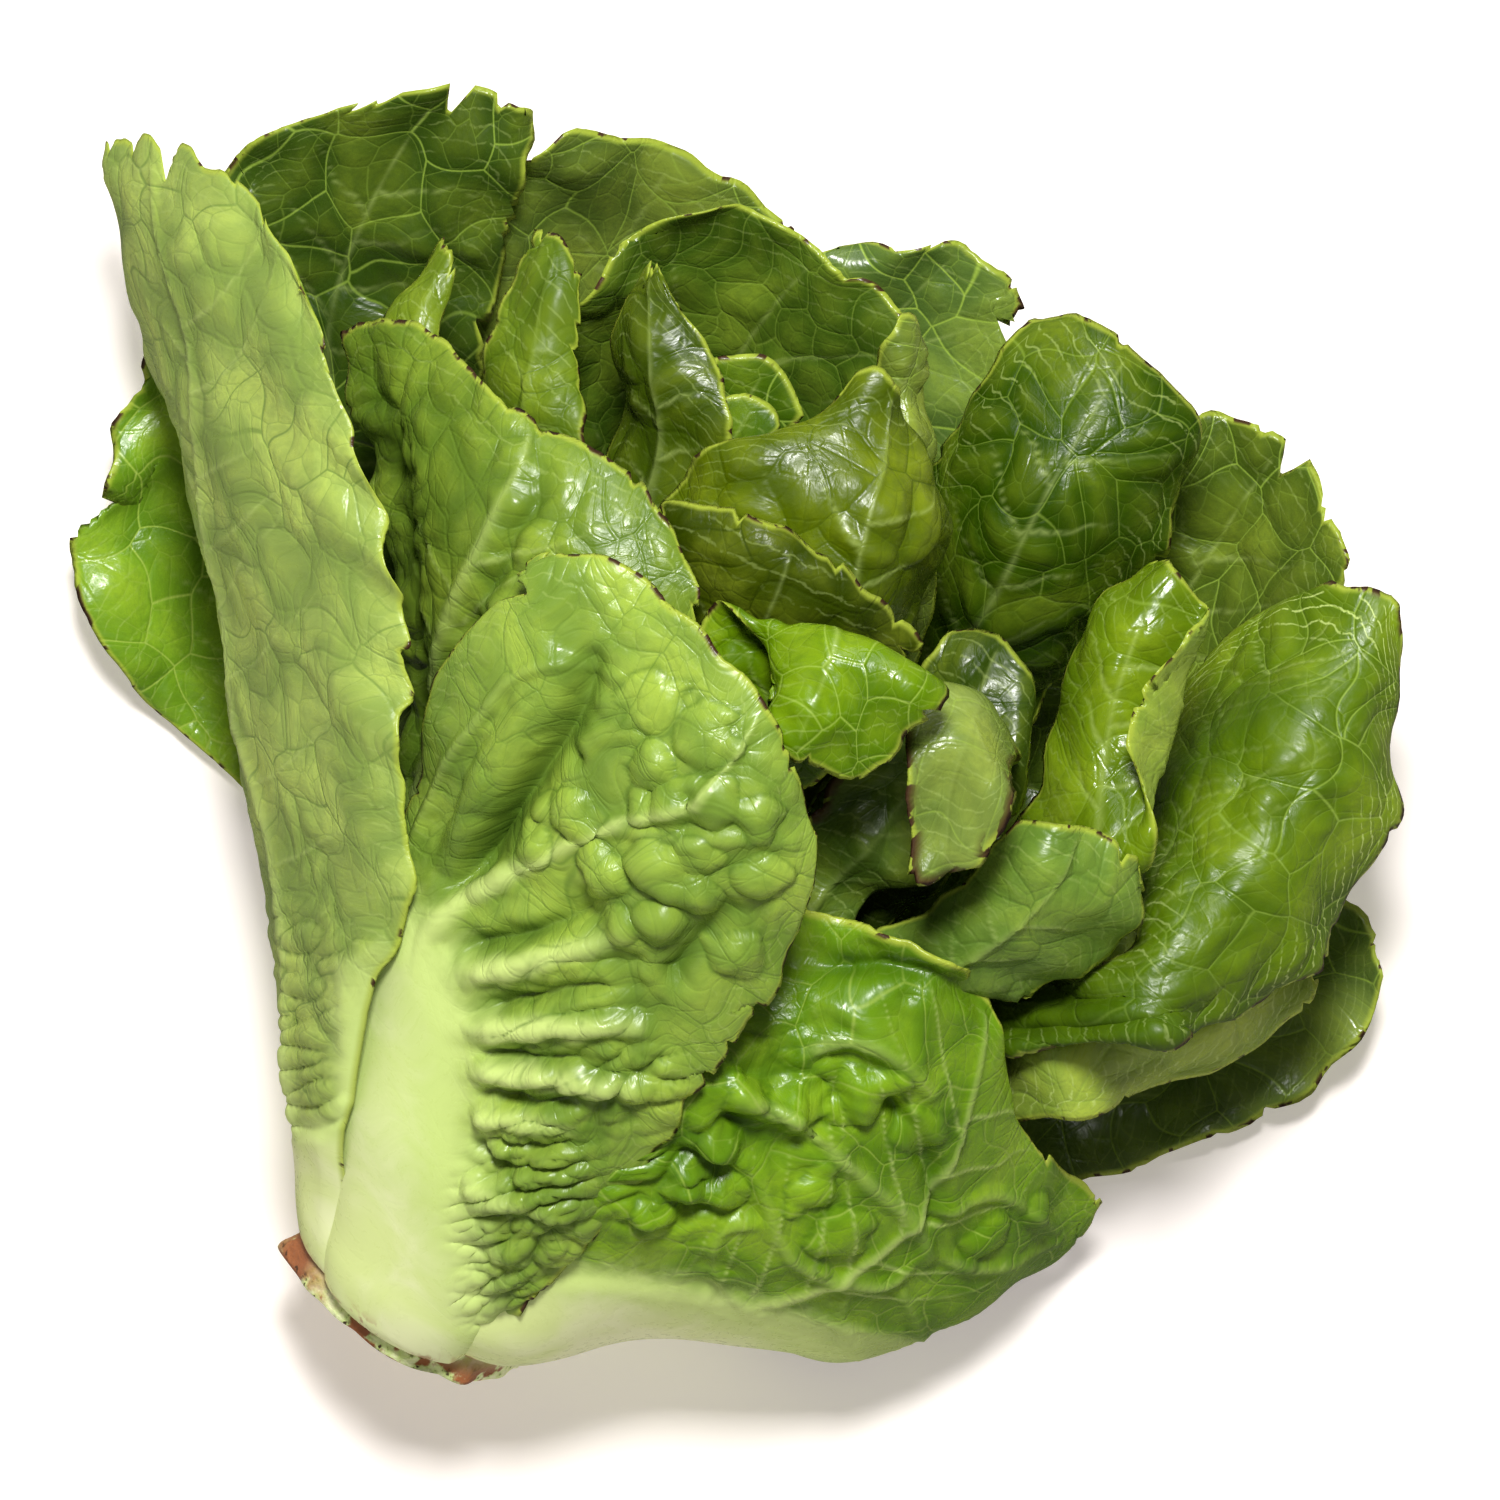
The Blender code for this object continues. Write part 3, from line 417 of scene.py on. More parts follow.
# %% [markdown]
# A leaf can't be drawn alone in a packed head: each one lies on those below it. So the nets
# become coarse sheets, each sheet is lifted clear of the ones already laid, and then they
# ease apart until a leaf's thickness and some air fit between them. This repeats how the
# solids of the frame were laid, so the fine leaves come out where the solids are.


# %% From the stem to the blade
def foot_rows(leaf, columns):
    """Rows that carry a leaf from the stem out to its blade, between its neighbours."""
    start, bearing, foot_width, half_width, end = leaf["foot"]
    turn = -1.0 if leaf["face"] == "outer" else 1.0
    distances = [start]
    for along in (start + 9, end * 0.6, end):
        if along - distances[-1] > 6 and along <= end:
            distances.append(along)
    rows = []
    for along in distances:
        spread = (along - start) / max(end - start, 1.0)
        width = foot_width * (1 - spread) + half_width * spread
        share = (1.0 - start / along) ** 0.8
        row = []
        for column in range(columns):
            across = 2.0 * column / (columns - 1) - 1.0
            inner = stem_radius(along) + RIB_THICKNESS / 2 + 0.4
            reach = inner + share * max(outline_radius(along, math.radians(bearing)) - inner, 0)
            angle = math.radians(bearing) + turn * across * width / reach
            reach = inner + share * max(outline_radius(along, angle) - inner, 0)
            row.append(stem_point(along) + reach * stem_out(angle))
        rows.append(row)
    return rows


print("rows in the front leaf's foot:", len(foot_rows(LEAVES["front_leaf"], 5)))

# %% [markdown]
# A smooth curve through every row and every column of a net gives the blade's middle surface.
# It could be a NURBS patch, but a Catmull-Rom curve passes through its points, so a leaf lies
# just where its net says.


# %% Coarse sheets
def spline_weights(knots, samples):
    """Weights of a smooth curve through evenly spaced knots, one row for each sample."""
    weights = np.zeros((samples, knots))
    for index, place in enumerate(np.linspace(0, knots - 1, samples)):
        first = min(int(place), knots - 2)
        t = place - first
        blend = (-0.5 * t + t * t - 0.5 * t ** 3, 1 - 2.5 * t * t + 1.5 * t ** 3,
                 0.5 * t + 2 * t * t - 1.5 * t ** 3, -0.5 * t * t + 0.5 * t ** 3)
        for step, weight in zip((-1, 0, 1, 2), blend):
            knot = first + step
            if knot < 0:
                weights[index, 0] += 2 * weight
                weights[index, 1] -= weight
            elif knot >= knots:
                weights[index, -1] += 2 * weight
                weights[index, -2] -= weight
            else:
                weights[index, knot] += weight
    return weights


def leaf_sheet(leaf):
    """Middle surface of a leaf as a grid of points: rows along it, columns across it."""
    columns = len(leaf["rows"][0])
    net = np.array(foot_rows(leaf, columns) + leaf["rows"], dtype=float)
    across = 9 if columns == 5 else 7
    along = 13 if columns == 5 else 11
    return np.einsum("ik,klc,jl->ijc", spline_weights(len(net), along), net,
                     spline_weights(columns, across))


def sheet_thickness(shape):
    """Thickness at each grid point: thick along the foot of the midrib, thin in the blade."""
    along = np.linspace(0, 1, shape[0])[:, None]
    across = np.linspace(-1, 1, shape[1])[None, :]
    rib = np.clip(1 - 1.6 * along, 0, 1) * np.exp(-(across / 0.8) ** 2)
    return BLADE_THICKNESS + (RIB_THICKNESS - BLADE_THICKNESS) * rib


def sheet_faces(shape):
    """The quads of a grid of points."""
    rows, columns = shape[:2]
    return [(r * columns + c, r * columns + c + 1, (r + 1) * columns + c + 1, (r + 1) * columns + c)
            for r in range(rows - 1) for c in range(columns - 1)]


print("one coarse sheet:", leaf_sheet(LEAVES["front_leaf"]).shape)

# %% [markdown]
# A new leaf rests on those already laid. Rays straight up and down find how deep it would
# sink into them, and the lift that each point needs is spread to its neighbours, because a
# stiff blade rises as a whole and doesn't dent.

# %% Lift a leaf over the lower ones
LIFT_ROUNDS = 6
SPREAD_ROUNDS = 10
LIFT_ENOUGH = 0.05
STEEPEST = 0.5
HIGH_ABOVE = 400
FAR_BELOW = -100


def sheet_tree(sheet):
    """A search tree over a sheet's quads."""
    return BVHTree.FromPolygons([Vector(p) for p in sheet.reshape(-1, 3)], sheet_faces(sheet.shape))


def neighbour_mean(field):
    """Mean of each grid point's neighbours along and across the sheet."""
    padded = np.pad(field, [(1, 1), (1, 1)] + [(0, 0)] * (field.ndim - 2), mode="edge")
    return (padded[:-2, 1:-1] + padded[2:, 1:-1] + padded[1:-1, :-2] + padded[1:-1, 2:]) / 4


def keep_off_table(name, sheet):
    """Hold a sheet's underside at the table; a resting leaf dips just into its trim."""
    dip = TABLE_TRIM if name in RESTING else -TABLE_CLEARANCE
    sheet[:, :, 2] = np.maximum(sheet[:, :, 2], sheet_thickness(sheet.shape) / 2 - dip)


def lift_over(sheet, lower):
    """Raise a leaf until it lies clear above every leaf already laid below it."""
    down, up = Vector((0, 0, -1)), Vector((0, 0, 1))
    for _ in range(LIFT_ROUNDS):
        need = np.zeros(sheet.shape[:2])
        tree = sheet_tree(sheet)
        faces = sheet_faces(sheet.shape)
        flat_need = need.reshape(-1)
        for points, other in lower:
            for index, point in enumerate(sheet.reshape(-1, 3)):
                place, normal, _, _ = other.ray_cast(Vector((point[0], point[1], HIGH_ABOVE)), down)
                if place is not None:
                    clear = place.z + LEAF_PITCH / max(abs(normal.z), STEEPEST) - point[2]
                    flat_need[index] = max(flat_need[index], clear)
            for point in points.reshape(-1, 3):
                place, normal, face, _ = tree.ray_cast(Vector((point[0], point[1], FAR_BELOW)), up)
                if place is not None:
                    clear = point[2] + LEAF_PITCH / max(abs(normal.z), STEEPEST) - place.z
                    for corner in faces[face]:
                        flat_need[corner] = max(flat_need[corner], clear)
        if need.max() < LIFT_ENOUGH:
            break
        lift = need.copy()
        for _ in range(SPREAD_ROUNDS):
            lift = np.maximum(need, neighbour_mean(lift))
        sheet[:, :, 2] += lift


print("leaf pitch:", LEAF_PITCH, "mm from one blade's middle to the next")

# %% [markdown]
# Lifting leaves some pairs too close side by side. Every point that is nearer to another
# leaf than the pitch moves half of what is missing, and its neighbours share the move. A few
# dozen rounds settle the whole head, much as leaves ease apart while they grow.


# %% Ease the leaves apart
def stem_profile():
    """The stem's outline as pairs of distance along the axis and radius."""
    profile = [(0.0, 0.0), (0.0, STEM_BASE_RADIUS - 1.2), (1.2, STEM_BASE_RADIUS)]
    profile += [(d, stem_radius(d)) for d in (8, 16, 24, 32, 40, 46, 49)]
    profile.append((STEM_LENGTH, 0.0))
    return profile


def stem_guard():
    """The stem's surface as points and a search tree, for keeping the leaves off it."""
    profile = stem_profile()
    points, faces = [], []
    for along, radius in profile:
        for side in range(STEM_SIDES):
            points.append(stem_point(along) + radius * stem_out(2 * math.pi * side / STEM_SIDES))
    for ring in range(len(profile) - 1):
        for side in range(STEM_SIDES):
            nxt = (side + 1) % STEM_SIDES
            faces.append((ring * STEM_SIDES + side, (ring + 1) * STEM_SIDES + side,
                          (ring + 1) * STEM_SIDES + nxt, ring * STEM_SIDES + nxt))
    return np.array(points), BVHTree.FromPolygons([Vector(p) for p in points], faces)


def push_from(point, tree):
    """Half the move that would bring a point of one leaf the full pitch away from another."""
    place, _, _, gap = tree.find_nearest(Vector(point), LEAF_PITCH)
    if place is None or gap < 1e-4:
        return 0.0
    return 0.5 * (LEAF_PITCH - gap) / gap * (point - np.array(place))


def push_off_stem(point, stem_tree):
    """The move that brings a point of a leaf the full pitch out of the stem."""
    place, normal, _, _ = stem_tree.find_nearest(Vector(point), LEAF_PITCH)
    if place is None:
        return 0.0
    side = (Vector(point) - place).dot(normal)
    return max(LEAF_PITCH - side, 0.0) * np.array(normal)


def push_apart(sheets, stem_tree):
    """Ease apart leaves that still come closer than the pitch, each keeping to its side."""
    names = list(sheets)
    for _ in range(PUSH_ROUNDS):
        trees = {name: sheet_tree(sheets[name]) for name in names}
        lows = {n: sheets[n].reshape(-1, 3).min(0) - LEAF_PITCH for n in names}
        highs = {n: sheets[n].reshape(-1, 3).max(0) + LEAF_PITCH for n in names}
        moves = {}
        for name in names:
            move = np.zeros_like(sheets[name])
            for index in np.ndindex(*move.shape[:2]):
                point = sheets[name][index]
                for other in names:
                    if other == name or (point < lows[other]).any() or (point > highs[other]).any():
                        continue
                    move[index] += push_from(point, trees[other])
                move[index] += push_off_stem(point, stem_tree)
            moves[name] = 0.6 * move + 0.4 * neighbour_mean(move)
        for name in names:
            sheets[name] += moves[name]
            keep_off_table(name, sheets[name])


print("stem profile:", len(stem_profile()), "rings")


# %% Lay all the leaves
def lay_leaves():
    """All the sheets, laid from the table up and eased apart."""
    stem_points, stem_tree = stem_guard()
    lower, sheets = [], {}
    for name, leaf in LEAVES.items():
        if name == FIRST_ABOVE_STEM:
            lower.append((stem_points, stem_tree))
        sheet = leaf_sheet(leaf)
        keep_off_table(name, sheet)
        lift_over(sheet, lower)
        lower.append((sheet, sheet_tree(sheet)))
        sheets[name] = sheet
    push_apart(sheets, stem_tree)
    return sheets


sheets = lay_leaves()


def off_the_solids():
    """How far the laid sheets' boxes are from the solids' boxes, in millimetres."""
    worst = 0.0
    for name, sheet in sheets.items():
        points = to_metres(sheet.reshape(-1, 3))
        low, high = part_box(name)
        worst = max(worst, np.abs(points.min(0) - np.array(low)).max(),
                    np.abs(points.max(0) - np.array(high)).max())
    return worst / MM


print("laid", len(sheets), "sheets, within", round(off_the_solids(), 2), "mm of the solids")


# %% [markdown]
# A coarse sheet has a dozen rows and a leaf needs hundreds. A natural cubic spline draws the
# fine grid from the coarse one: it bends as a thin stiff sheet does, with no kink at a row.


# %% A spline over the coarse sheet
def spline_at(knots, places):
    """Weights of a natural cubic spline through evenly spaced knots, at the places asked."""
    system, bend = np.eye(knots), np.zeros((knots, knots))
    for k in range(1, knots - 1):
        system[k, k - 1:k + 2] = (1, 4, 1)
        bend[k, k - 1:k + 2] = (6, -12, 6)
    curvature = np.linalg.solve(system, bend)
    first = np.clip(places.astype(int), 0, knots - 2)
    right = places - first
    left = 1 - right
    rows = np.arange(len(places))
    weights = np.zeros((len(places), knots))
    weights[rows, first] += left
    weights[rows, first + 1] += right
    weights += (left ** 3 - left)[:, None] * curvature[first] / 6
    weights += (right ** 3 - right)[:, None] * curvature[first + 1] / 6
    return weights


def spline_surface(sheet, along, across):
    """Points of the smooth surface over a sheet, at places along and across it."""
    return np.einsum("ik,klc,jl->ijc", spline_at(sheet.shape[0], along), sheet,
                     spline_at(sheet.shape[1], across))


def lengths(points, axis):
    """Distance run along each grid line, from its start."""
    steps = np.linalg.norm(np.diff(points, axis=axis), axis=-1)
    start = np.zeros_like(np.take(steps, [0], axis=axis))
    return np.cumsum(np.concatenate([start, steps], axis=axis), axis=axis)


print("front leaf:", round(lengths(sheets["front_leaf"], 0)[-1].max()), "mm long over its bends")

# %% [markdown]
# Blisters and veins are as large at a blade's cup as at its flat. So each leaf carries a
# flat pattern of itself, as a tailor's pattern is to a sleeve, and textures are laid on that.
# Springs as long as the blade's own distances pull the grid flat with the least stretch.

# %% A flat pattern of each leaf
FLATTEN_ROUNDS = 150
LEAST_LENGTH = 0.5


def flat_pattern(sheet):
    """The coarse sheet pressed flat, in millimetres, keeping the distances between neighbours."""
    numbers = np.arange(sheet.shape[0] * sheet.shape[1]).reshape(sheet.shape[:2])
    pairs = np.concatenate([np.stack([a.ravel(), b.ravel()], axis=1) for a, b in (
        (numbers[1:], numbers[:-1]), (numbers[:, 1:], numbers[:, :-1]),
        (numbers[1:, 1:], numbers[:-1, :-1]), (numbers[1:, :-1], numbers[:-1, 1:]))])
    knots = sheet.reshape(-1, 3)
    length = np.linalg.norm(knots[pairs[:, 0]] - knots[pairs[:, 1]], axis=1)
    weight = 1 / np.maximum(length, LEAST_LENGTH) ** 2
    springs = np.zeros((len(knots), len(knots)))
    for sign, a, b in ((1, 0, 0), (1, 1, 1), (-1, 0, 1), (-1, 1, 0)):
        np.add.at(springs, (pairs[:, a], pairs[:, b]), sign * weight)
    ease = np.linalg.pinv(springs)
    across = lengths(sheet, 1)
    flat = np.dstack([across - across[:, -1:] / 2, lengths(sheet, 0)]).reshape(-1, 2)
    for _ in range(FLATTEN_ROUNDS):
        span = flat[pairs[:, 0]] - flat[pairs[:, 1]]
        pull = (weight * length / np.maximum(np.linalg.norm(span, axis=1), 1e-6))[:, None] * span
        target = np.zeros_like(flat)
        np.add.at(target, pairs[:, 0], pull)
        np.add.at(target, pairs[:, 1], -pull)
        flat = ease @ target
    return flat.reshape(*sheet.shape[:2], 2)


pressed = flat_pattern(sheets["front_leaf"])
print("front leaf pressed flat:", np.ptp(pressed, axis=(0, 1)).round(), "mm")

# %% [markdown]
# The fine grid has about one point for each millimetre of blade or less, and fewer in the
# foot, which its neighbours hide. Even spacing keeps small blisters sharp everywhere.

# %% Fine sheets
DRAFT_ROWS = 200
DRAFT_COLUMNS = 41
WIDEST_ROWS = 20
FOOT_SHARES = (0.0, 0.25, 0.38, 1.0)


def fine_sheet(sheet, grain, foot_grain):
    """Points each `grain` millimetres, wider apart in the foot, and their flat places."""
    draft_along = np.linspace(0, sheet.shape[0] - 1, DRAFT_ROWS)
    draft = spline_surface(sheet, draft_along, np.linspace(0, sheet.shape[1] - 1, DRAFT_COLUMNS))
    run = lengths(draft, 0).mean(axis=1)
    width = np.sort(lengths(draft, 1)[:, -1])[-WIDEST_ROWS]
    step = np.interp(run / run[-1], FOOT_SHARES, (foot_grain, foot_grain, grain, grain))
    count = np.concatenate([[0.0], np.cumsum(np.diff(run) / step[1:])])
    columns = int(width / grain) | 1
    along = np.interp(np.linspace(0, count[-1], int(count[-1]) + 1), count, draft_along)
    fine = spline_surface(np.dstack([sheet, flat_pattern(sheet)]), along,
                          np.linspace(0, sheet.shape[1] - 1, columns))
    return fine[..., :3], fine[..., 3:]


def sample(field, row, column):
    """Read a grid between its points."""
    top, left = field.shape[0] - 2, field.shape[1] - 2
    r = np.clip(row.astype(int), 0, top)
    c = np.clip(column.astype(int), 0, left)
    y, x = (row - r)[..., None], (column - c)[..., None]
    return ((1 - y) * (1 - x) * field[r, c] + (1 - y) * x * field[r, c + 1]
            + y * (1 - x) * field[r + 1, c] + y * x * field[r + 1, c + 1])


print("front leaf at 1 mm:", fine_sheet(sheets["front_leaf"], 1.0, 1.0)[0].shape[:2], "points")

# %% [markdown]
# A lettuce blade is anything but neat: its margin is scalloped, nicked and ruffled. Sums of a
# few sine waves with mixed lengths give waves that never quite repeat, and each has its own
# fixed seed, so that every leaf differs and every run is the same.


# %% Waves and nicks
def ripple(place, seed, wavelength):
    """A smooth wave between about -1 and 1 that never quite repeats."""
    draw = np.random.default_rng(seed)
    total = 0.0
    for _ in range(5):
        total = total + np.sin(2 * math.pi * place / (wavelength * draw.uniform(0.6, 1.5))
                               + draw.uniform(0, 2 * math.pi))
    return total / 2.6


def swell(across, along, seed, wavelength):
    """The same over a surface."""
    draw = np.random.default_rng(seed)
    total = 0.0
    for _ in range(8):
        turn = draw.uniform(0, math.pi)
        run = across * math.cos(turn) + along * math.sin(turn)
        total = total + np.sin(2 * math.pi * run / (wavelength * draw.uniform(0.7, 1.5))
                               + draw.uniform(0, 2 * math.pi))
    return total / 3.2


def nicks(place, seed, first, last, count, depth):
    """Narrow V-shaped tears at random places along an edge."""
    draw = np.random.default_rng(seed)
    cut = np.zeros_like(place)
    for _ in range(count):
        middle, half = draw.uniform(first, last), draw.uniform(0.5, 1.1)
        notch = np.clip(1 - abs(place - middle) / half, 0, 1)
        cut = np.maximum(cut, draw.uniform(0.4, 1.0) * depth * notch)
    return cut


print("a ripple 9 mm long:", ripple(np.arange(0.0, 18.0, 3.0), 1, 9.0).round(1))

# %% [markdown]
# The outline is cut by sampling the fine grid again a little inside its edge. This moves the
# margin without moving the surface, which cutting with a second mesh would leave ragged.


# %% The margin's outline
SCALLOP_LENGTH = 9.0
TOOTH_LENGTH = 2.4
TOOTH_DEPTH = 0.07
MARGIN_PULL = 7.0


def trim_margin(points, look, seed):
    """Where each grid point moves to in the sheet's own grid, to give the leaf its outline."""
    across_run, along_run = lengths(points, 1), lengths(points, 0)
    width, length = across_run[:, -1:], along_run[-1:, :]
    steps = [np.arange(n, dtype=float) for n in points.shape[:2]]
    rows, columns = np.meshgrid(*steps, indexing="ij")
    share = along_run / np.maximum(length, 1e-6)
    blade = np.clip((share - 0.30) / 0.2, 0, 1)
    shift = {}
    for side, place in (("left", along_run), ("right", along_run), ("tip", across_run)):
        number = seed * 10 + len(shift)
        last = float(place.max())
        edge = look["scallop"] * (0.6 + 0.6 * ripple(place, number, SCALLOP_LENGTH))
        edge = edge + TOOTH_DEPTH * (1 + ripple(place, number + 3, TOOTH_LENGTH))
        edge = edge + nicks(place, number + 5, 0.35 * last if side != "tip" else 0.0, last,
                            look["nicks"], look["nick_depth"])
        edge = np.clip(edge, 0, None) * blade
        for tear_side, where, half, depth in look["tears"]:
            if tear_side == side:
                edge = edge + depth * np.clip(1 - abs(place - where * last) / half, 0, 1) ** 0.7
        shift[side] = edge
    corner = look["corner"] * np.clip((share - 0.80) / 0.20, 0, 1) ** 2.5
    off_middle = abs(2 * columns / (points.shape[1] - 1) - 1)
    reach = MARGIN_PULL + 2 * look["corner"]
    fade_left = np.clip(1 - across_run / reach, 0, 1) ** 2
    fade_right = np.clip(1 - (width - across_run) / reach, 0, 1) ** 2
    fade_tip = np.clip(1 - (length - along_run) / reach, 0, 1) ** 2
    cell_across = np.maximum(width / (points.shape[1] - 1), 0.05)
    cell_along = np.maximum(length / (points.shape[0] - 1), 0.05)
    inward = (shift["left"] + corner) * fade_left - (shift["right"] + corner) * fade_right
    down = (shift["tip"] + 0.6 * look["corner"] * off_middle ** 6) * fade_tip
    limit = 0.45 * (points.shape[1] - 1)
    moved = np.clip(inward / cell_across, -limit, limit)
    return rows - down / cell_along, columns + moved


print("the margin is pulled in over", MARGIN_PULL, "mm, more at a rounded corner")

# %% [markdown]
# A margin grows longer than the blade inside it, so it has to wave. The waves die out within
# a few millimetres of the edge. Further in, the blade only rolls gently.

# %% Ruffles
RUFFLE_REACH = 7.0
SIDE_WAVE = 17.0
TIP_WAVE = 15.0
ROLL_WAVE = 26.0
CURL = 0.6
CURL_REACH = 4.5


def normals_of(points):
    """Unit normals of a grid of points."""
    face = np.cross(np.gradient(points, axis=1), np.gradient(points, axis=0))
    return face / np.maximum(np.linalg.norm(face, axis=-1, keepdims=True), 1e-9)


def edge_distances(points):
    """Distance of each grid point to the left and right margin, the tip and the foot."""
    across_run, along_run = lengths(points, 1), lengths(points, 0)
    return across_run, across_run[:, -1:] - across_run, along_run[-1:, :] - along_run, along_run


def ruffle_margin(points, look, seed):
    """Let the margin wave up and down, and the blade roll gently."""
    left, right, tip, foot = edge_distances(points)
    normal = normals_of(points)
    opening = np.clip((foot - 0.25 * foot.max()) / (0.3 * foot.max()), 0, 1)
    wave = look["ruffle"] * np.exp(-left / RUFFLE_REACH) * ripple(foot, seed + 31, SIDE_WAVE)
    wave = wave + (look["ruffle"] * np.exp(-right / RUFFLE_REACH)
                   * ripple(foot, seed + 32, SIDE_WAVE))
    wave = wave + (0.7 * look["ruffle"] * np.exp(-tip / RUFFLE_REACH)
                   * ripple(left, seed + 33, TIP_WAVE))
    middle = left - 0.5 * (left + right)
    wave = wave + look["roll"] * swell(middle, foot, seed + 34, ROLL_WAVE)
    margin = np.minimum(np.minimum(left, right), tip)
    wave = wave - CURL * np.exp(-margin / CURL_REACH)
    return points + (wave * opening)[..., None] * normal


print("margin waves:", SIDE_WAVE, "mm long at the sides and", TIP_WAVE, "mm at the tip")

# %% [markdown]
# At the stem the feet of the leaves wrap each other like the scales of a bud. The sides of
# each foot widen and tuck in under its neighbours, and its end sinks into the stem, so no
# slit shows where a leaf grows out.

# %% Sheathed feet
FOOT_SINK = 2.6
FOOT_REACH = 9.0
SHEATH_FADE = 0.12


def sheathe_foot(points, look):
    """Widen the foot so that it wraps its neighbours, and run it into the stem it grows from."""
    axis = stem_point(1.0) - stem_point(0.0)
    along = np.clip((points - STEM_START) @ axis, 0.0, STEM_LENGTH)
    inward = STEM_START + along[..., None] * axis - points
    inward = inward / np.maximum(np.linalg.norm(inward, axis=-1, keepdims=True), 1e-6)
    foot = lengths(points, 0)
    side = np.linspace(-1, 1, points.shape[1])[None, :]
    sheath = np.clip((look["sheath_end"] - foot / foot.max()) / SHEATH_FADE, 0, 1)
    outward = np.gradient(points, axis=1)
    outward = outward / np.maximum(np.linalg.norm(outward, axis=-1, keepdims=True), 1e-6)
    spread = look["sheath"] * np.sign(side) * abs(side) ** 3 * sheath
    tuck = 0.9 * look["sheath"] * abs(side) ** 4 * sheath
    tuck = tuck + FOOT_SINK * np.clip(1 - foot / FOOT_REACH, 0, 1) ** 2
    return points + spread[..., None] * outward + tuck[..., None] * inward


print("feet sink", FOOT_SINK, "mm into the stem")

# %% [markdown]
# Ribs, folds and blisters that stand out on a leaf are listed one by one, as lines and spots
# in plan. A line is laid on the fine sheet, and every point of the sheet then learns how near
# it is. The same numbers raise a rib and paint it pale, so shape and colour can't drift apart.

# %% Lines and patches on a leaf
TOP_FIRST = 0.05
STRAIGHT_MIDRIB = ((0, 0), (1, 0))


def grid_path(points, plan, samples=90):
    """A smooth line in the sheet's own grid through points given in plan (x, y)."""
    stops = []
    for x, y in plan:
        gap = (points[..., 0] - x) ** 2 + (points[..., 1] - y) ** 2 - TOP_FIRST * points[..., 2]
        stops.append(np.unravel_index(np.argmin(gap), gap.shape))
    run = np.linspace(0, len(stops) - 1, samples)
    line = spline_at(len(stops), run) @ np.array(stops, dtype=float)
    return line[:, 0], line[:, 1]


def midrib_knots(points, look):
    """The midrib as pairs of share along and place across (-1 to 1)."""
    if "midrib_at" not in look:
        return STRAIGHT_MIDRIB
    rows, columns = grid_path(points, look["midrib_at"], 24)
    order = np.argsort(rows)
    share = rows[order] / (points.shape[0] - 1)
    return tuple(zip(share, 2 * columns[order] / (points.shape[1] - 1) - 1))


def near_line(points, line, reach):
    """Distance of each grid point to a line and how far along it that is, within a reach."""
    gap = np.full(points.shape[:2], 10.0 * reach)
    share = np.zeros(points.shape[:2])
    low, high = line.min(axis=0) - reach, line.max(axis=0) + reach
    close = np.all((points > low) & (points < high), axis=-1)
    if close.any():
        span = np.linalg.norm(points[close][:, None] - line[None], axis=-1)
        gap[close] = span.min(axis=1)
        share[close] = span.argmin(axis=1) / max(len(line) - 1, 1)
    return gap, share


def plan_patch(points, outline, soft):
    """1 inside an outline drawn in plan and 0 outside it, changing over a soft border."""
    corners = np.array(outline, dtype=float)
    x, y = points[..., 0], points[..., 1]
    inside, gap = np.zeros(x.shape, dtype=bool), np.full(x.shape, 1e9)
    for (ax, ay), (bx, by) in zip(corners, np.roll(corners, -1, axis=0)):
        inside ^= ((ay > y) != (by > y)) & (x < ax + (bx - ax) * (y - ay) / (by - ay + 1e-9))
        along = ((x - ax) * (bx - ax) + (y - ay) * (by - ay)) / ((bx - ax) ** 2 + (by - ay) ** 2)
        along = np.clip(along, 0, 1)
        gap = np.minimum(gap, np.hypot(x - ax - along * (bx - ax), y - ay - along * (by - ay)))
    share = np.clip(0.5 + np.where(inside, gap, -gap) / soft, 0, 1)
    return share * share * (3 - 2 * share)


def petiole_share(points, look):
    """1 along the petiole and 0 beyond its end, both given as shares of the leaf's length."""
    end, fade = look["petiole_end"]
    along = lengths(points, 0)
    return np.clip((end - along / along.max()) / fade, 0, 1) ** 0.8


print("a line in plan gets", len(grid_path(sheets["front_leaf"], ((0, 50), (0, 90)))[0]), "places")

# %% [markdown]
# Beside the petiole a blade is packed into crumples like paper. The absolute value of a wave
# gives that shape: rounded crests with sharp valleys between. The valleys get painted shade,
# because light hardly reaches into them. Blisters are simple domes with a ring of painted shade
# round their foot.

# %% Crumples, creases and blisters
VEIN_COS, VEIN_SIN = 0.87, 0.5
CRUMPLE_STRETCH = 1.9
FINE_CRUMPLE = 0.55
VALLEY = 0.2
WARP = 0.22
WARP_LENGTH = 4.0


